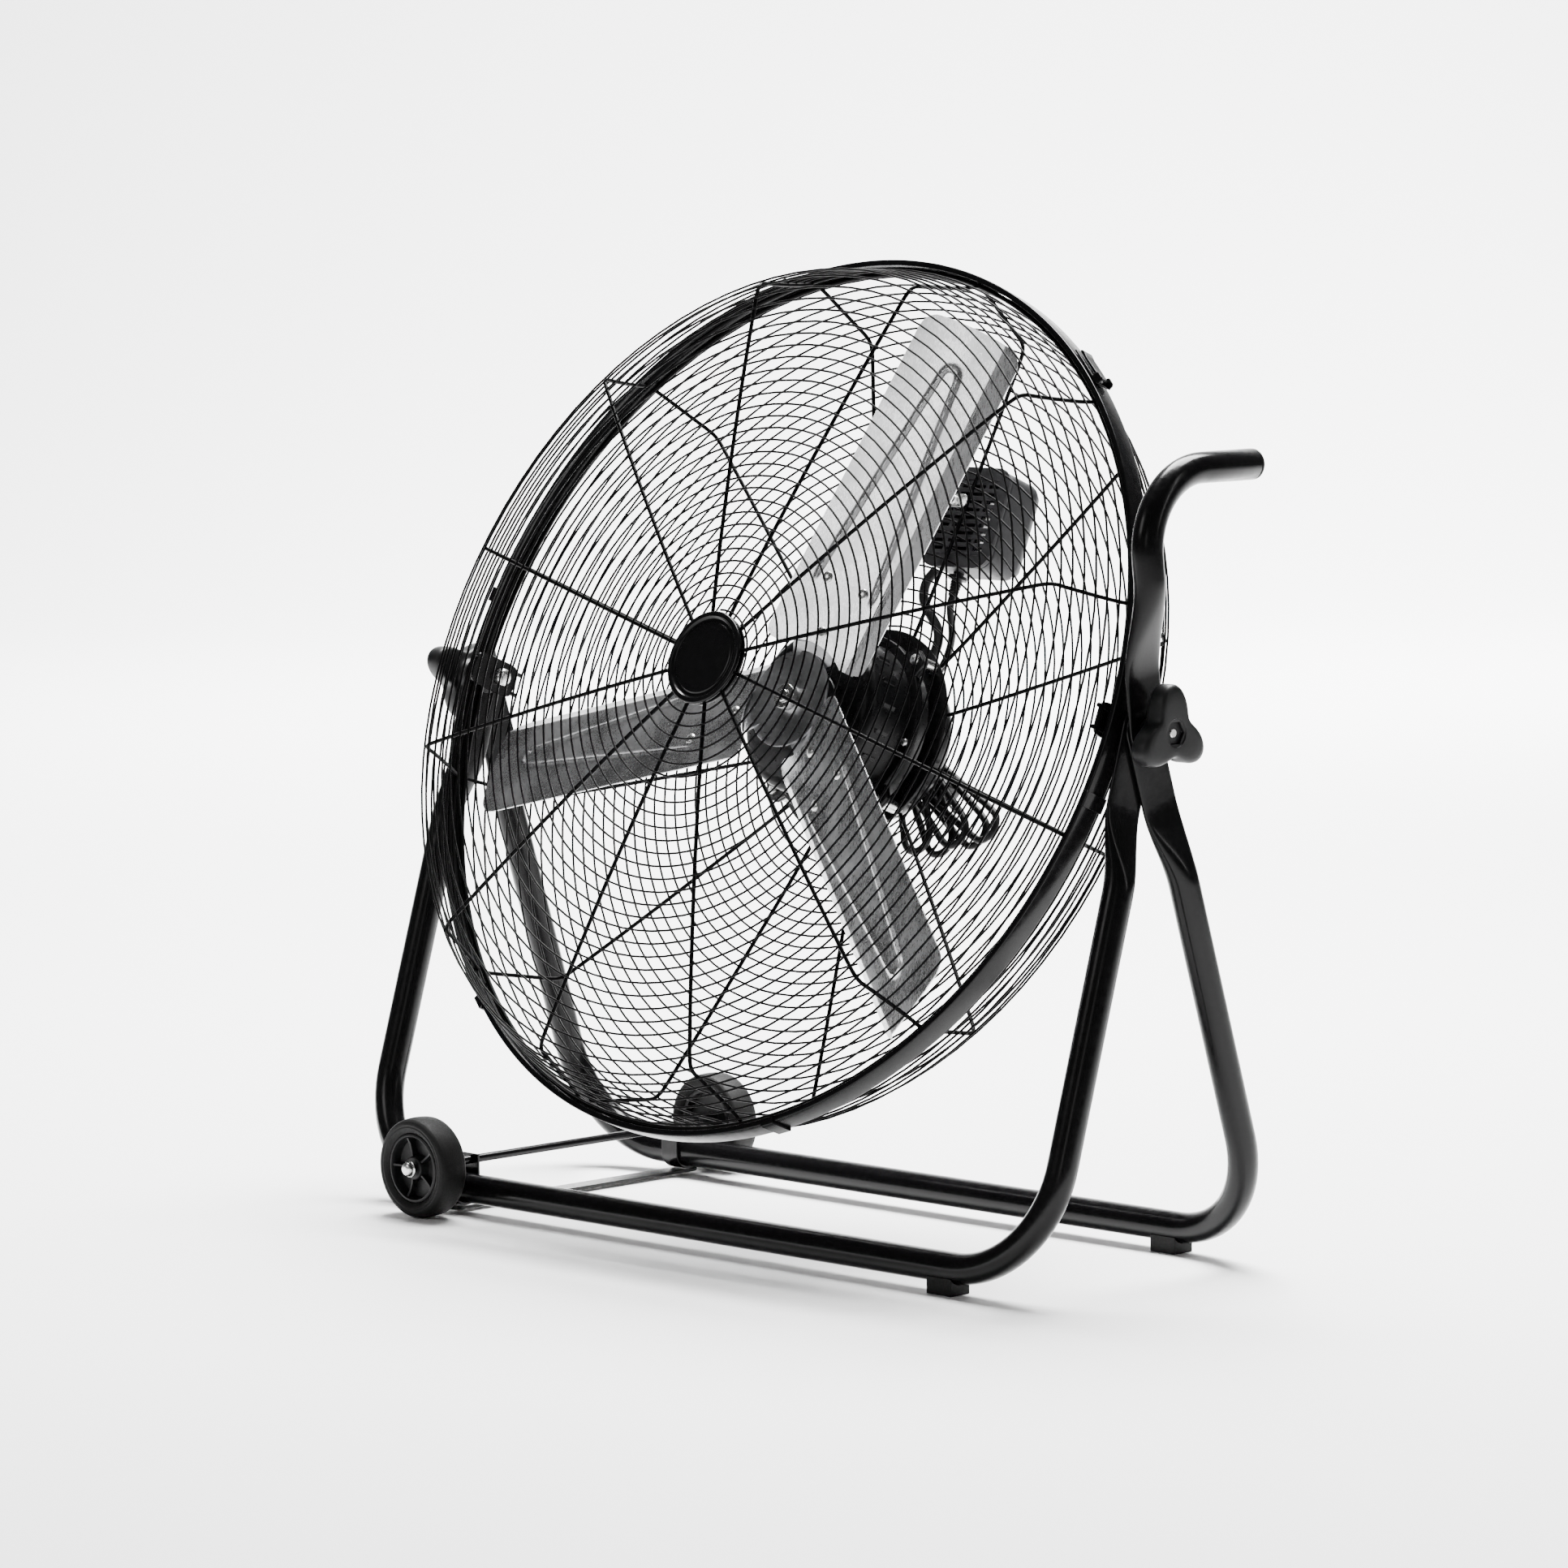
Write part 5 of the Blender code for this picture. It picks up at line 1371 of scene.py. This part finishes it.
def switch_housing():
    """The control box with its slotted plate, clamp, speed knob and screws, in the head frame."""
    low, high = Vector((0.0100, 0.0975, 0.1700)), Vector((0.0950, 0.1520, 0.2650))
    mid_x = (low.x + high.x) / 2.0
    mid_z = (low.z + high.z) / 2.0

    def outline(inset, corner=0.014, per_corner=9):
        half_x = (high.x - low.x) / 2.0 - inset
        half_z = (high.z - low.z) / 2.0 - inset
        radius = max(corner - inset, 0.004)
        points = []
        for quarter, (sx, sz) in enumerate(((1, 1), (-1, 1), (-1, -1), (1, -1))):
            for i in range(per_corner):
                a = math.radians(90.0 * quarter + 90.0 * i / (per_corner - 1))
                points.append((
                    mid_x + sx * (half_x - radius) + radius * math.cos(a),
                    mid_z + sz * (half_z - radius) + radius * math.sin(a),
                ))
        return points

    bm = bmesh.new()
    levels = [
        (0.0170, high.y), (0.0130, high.y - 0.0003), (0.0100, high.y - 0.0014), (0.0055, high.y - 0.0060),
        (0.0012, high.y - 0.0130), (0.0, high.y - 0.0170),
        (0.0, 0.1030), (0.0, 0.1022), (0.0006, 0.1016), (0.0006, 0.1008), (0.0, 0.1002),
        (0.0, low.y + 0.0004), (0.0004, low.y),
        (0.0028, low.y), (0.0028, 0.1340), (0.0160, 0.1490),
    ]
    loft(bm, [[(x, y, z) for x, z in outline(inset)] for inset, y in levels])
    piece("control_housing", bm, GREY, "head", ("switch_box",), HEAD, sharp=45.0)

    # The front plate: a rim with ten cross bars and two upright strips in it.
    bm = bmesh.new()
    y0, y1 = 0.0951, 0.0972
    half_x = (high.x - low.x) / 2.0 + 0.0018
    half_z = (high.z - low.z) / 2.0 + 0.0018
    rim = outline(-0.0018, 0.0158)
    inner = outline(0.0105, 0.012)
    rows = []
    for y in (y0, y1):
        rows.append(
            ([bm.verts.new((x, y, z)) for x, z in rim], [bm.verts.new((x, y, z)) for x, z in inner])
        )
    count = len(rim)
    for i in range(count):
        k = (i + 1) % count
        bm.faces.new((rows[0][0][i], rows[0][0][k], rows[0][1][k], rows[0][1][i]))
        bm.faces.new((rows[1][0][i], rows[1][0][k], rows[1][1][k], rows[1][1][i]))
        bm.faces.new((rows[0][0][i], rows[0][0][k], rows[1][0][k], rows[1][0][i]))
        bm.faces.new((rows[0][1][i], rows[0][1][k], rows[1][1][k], rows[1][1][i]))
    piece("control_plate_rim", bm, GREY, "head", ("switch_plate",), HEAD, sharp=45.0)
    bm = bmesh.new()
    bottom = mid_z - half_z + 0.0110
    top = mid_z + half_z - 0.0110
    pitch = (top - bottom) / 10.0
    for k in range(10):
        z = bottom + pitch * (k + 0.5)
        reach = half_x - 0.0100
        block(
            bm, (mid_x - reach, y0 + 0.0002, z - pitch * 0.27),
            (mid_x + reach, y1 - 0.0002, z + pitch * 0.27),
        )
    for x in (mid_x - 0.0170, mid_x + 0.0170):
        block(bm, (x - 0.0022, y0 + 0.0003, bottom - 0.001), (x + 0.0022, y1 - 0.0003, top + 0.001))
    piece("control_plate_bars", bm, GREY, "head", (), HEAD, bevel=0.0004)

    # The clamp washer and screw that hold the plate from inside the guard.
    clamp = Vector((0.0500, 0.0, 0.2280))
    bm = bmesh.new()
    loops = []
    for y, share in ((0.0780, 0.96), (0.0782, 1.0), (0.0794, 1.0), (0.0796, 0.97)):
        loop = []
        for i in range(40):
            a = 2.0 * math.pi * i / 40
            x = math.copysign(0.0090, math.cos(a)) + 0.0065 * share * math.cos(a)
            loop.append(clamp + Vector((x, y, 0.0065 * share * math.sin(a))))
        loops.append(loop)
    loft(bm, loops)
    piece("clamp_washer", bm, ZINC, "head", ("box_clamp_washer",), HEAD)
    bm = bmesh.new()
    phillips_screw(bm, clamp + Y * 0.0780, -Y, 0.0046, 0.0030)
    loft(bm, [ring(clamp + Y * y, X, Z, 0.0022, 16) for y in (0.0797, 0.0950)])
    piece("clamp_screw", bm, ZINC, "head", (), HEAD, sharp=30.0)

    # Speed knob with a ribbed skirt and a raised pointer.
    centre = Vector((0.0525, 0.1523, 0.2175))
    bm = bmesh.new()
    profile = [
        (0.0036, 0.0004), (0.0166, 0.0), (0.0170, 0.0004), (0.0170, 0.0028), (0.0166, 0.0034),
        (0.0140, 0.0042), (0.0132, 0.0052),
        (0.0122, 0.0153), (0.0116, 0.0166), (0.0104, 0.0170), (0.0, 0.0170),
    ]

    def ribbed(radius, angle):
        if radius < 0.0115 or radius > 0.0138:
            return radius
        return radius * (1.0 + 0.035 * math.cos(18.0 * angle))

    turned(bm, profile, 216, reach=ribbed)
    place = HEAD @ Matrix.Translation(centre)
    piece("selector_knob", bm, PLASTIC, "speed_knob", ("speed_knob",), place, sharp=50.0)
    bm = bmesh.new()
    block(bm, (-0.0008, 0.0166, 0.0020), (0.0008, 0.0171, 0.0108))
    piece("selector_pointer", bm, ZINC, "speed_knob", (), place, bevel=0.0002)
    # Four housing screws at the back corners.
    bm = bmesh.new()
    for sx in (-1.0, 1.0):
        for sz in (-1.0, 1.0):
            at = Vector((mid_x + sx * 0.0360, high.y - 0.0152, mid_z + sz * 0.0410))
            phillips_screw(bm, at, Y, 0.0030, 0.0016)
    piece("housing_screws", bm, ZINC, "head", (), HEAD, sharp=30.0)


switch_housing()


def lead():
    """The sleeved lead from the box down to the motor's flange."""
    route = [
        (0.0185, 0.1100, 0.1692), (0.0100, 0.1105, 0.1560), (0.0120, 0.1110, 0.1400),
        (0.0250, 0.1115, 0.1260),
        (0.0400, 0.1115, 0.1120), (0.0460, 0.1110, 0.0960), (0.0420, 0.1100, 0.0695),
    ]
    points = even_points(smooth_points([HEAD @ Vector(p) for p in route], 24), 90)
    wire("motor_lead_sleeve", [points], 0.0046, SLEEVE, "head", ("motor_lead",), 5)


lead()


def inner_materials():
    """Pieces inside the motor and the box, which no visual piece replaces, get procedural surfaces."""
    surfaces = {
        "motor_stator": COPPER, "rotor_core": CORE, "front_bearing": ZINC, "rear_bearing": ZINC,
        "speed_switch": PLASTIC, "capacitor": ZINC,
    }
    for name, surface in surfaces.items():
        made = bpy.data.objects.get(name)
        if made is not None and made.type == "MESH":
            made.data.materials.clear()
            made.data.materials.append(surface)


inner_materials()


# ---------------------------------------------------------------- floor and light

def floor():
    made, _, shader = shader_of("studio_floor")
    shader.inputs["Base Color"].default_value = (0.93, 0.93, 0.93, 1.0)
    shader.inputs["Roughness"].default_value = 0.62
    bm = bmesh.new()
    rows = []
    for i in range(41):
        # Level floor that sweeps up into a wall far behind the fan.
        t = i / 40
        if t < 0.6:
            along, up = -6.0 + 13.0 * t / 0.6, 0.0
        else:
            a = math.radians(90.0) * (t - 0.6) / 0.4
            along, up = 7.0 + 4.0 * math.sin(a), 4.0 * (1.0 - math.cos(a))
        rows.append((along, up))
    ahead = Vector((-math.sin(math.radians(45.9)), math.cos(math.radians(45.9)), 0.0))
    side = Vector((ahead.y, -ahead.x, 0.0))
    grid = []
    for along, up in rows + [(11.0, 9.0)]:
        grid.append(
            [bm.verts.new(ahead * along + side * s + Vector((0.0, 0.0, up))) for s in (-11.0, 11.0)]
        )
    for i in range(len(grid) - 1):
        bm.faces.new((grid[i][0], grid[i][1], grid[i + 1][1], grid[i + 1][0]))
    bmesh.ops.recalc_face_normals(bm, faces=bm.faces)
    mesh = bpy.data.meshes.new("studio_floor")
    bm.to_mesh(mesh)
    bm.free()
    mesh.shade_smooth()
    mesh.materials.append(made)
    made_object = bpy.data.objects.new("studio_floor", mesh)
    bpy.context.scene.collection.objects.link(made_object)


def area_light(name, place, target, size_x, size_y, energy, tint=(1.0, 1.0, 1.0)):
    data = bpy.data.lights.new(name, "AREA")
    data.shape = "RECTANGLE"
    data.size = size_x
    data.size_y = size_y
    data.energy = energy
    data.color = tint
    made = bpy.data.objects.new(name, data)
    made.location = place
    made.rotation_euler = (Vector(target) - Vector(place)).to_track_quat("-Z", "Y").to_euler()
    bpy.context.scene.collection.objects.link(made)


def world():
    made = bpy.data.worlds.new("studio")
    bpy.context.scene.world = made
    made.use_nodes = True
    made.node_tree.nodes["Background"].inputs["Color"].default_value = (1.0, 1.0, 1.0, 1.0)
    made.node_tree.nodes["Background"].inputs["Strength"].default_value = 0.07


floor()
area_light("overhead_softbox", (-0.6, 1.3, 3.6), (-0.2, 0.4, 0.0), 2.6, 1.8, 1050.0)
area_light("front_softbox", (-0.76, -2.95, 2.10), (0.1, -0.1, 0.70), 1.1, 1.1, 20.0)
area_light("side_fill", (2.63, -3.74, 1.34), (0.0, 0.0, 0.5), 0.9, 0.9, 5.0)
area_light("right_strip", (2.9, 0.9, 1.8), (0.0, 0.0, 0.5), 0.25, 2.0, 13.0)
area_light("backdrop_wash", (-3.0, 4.4, 3.8), (-5.6, 5.6, 0.6), 4.0, 2.0, 1900.0)
world()
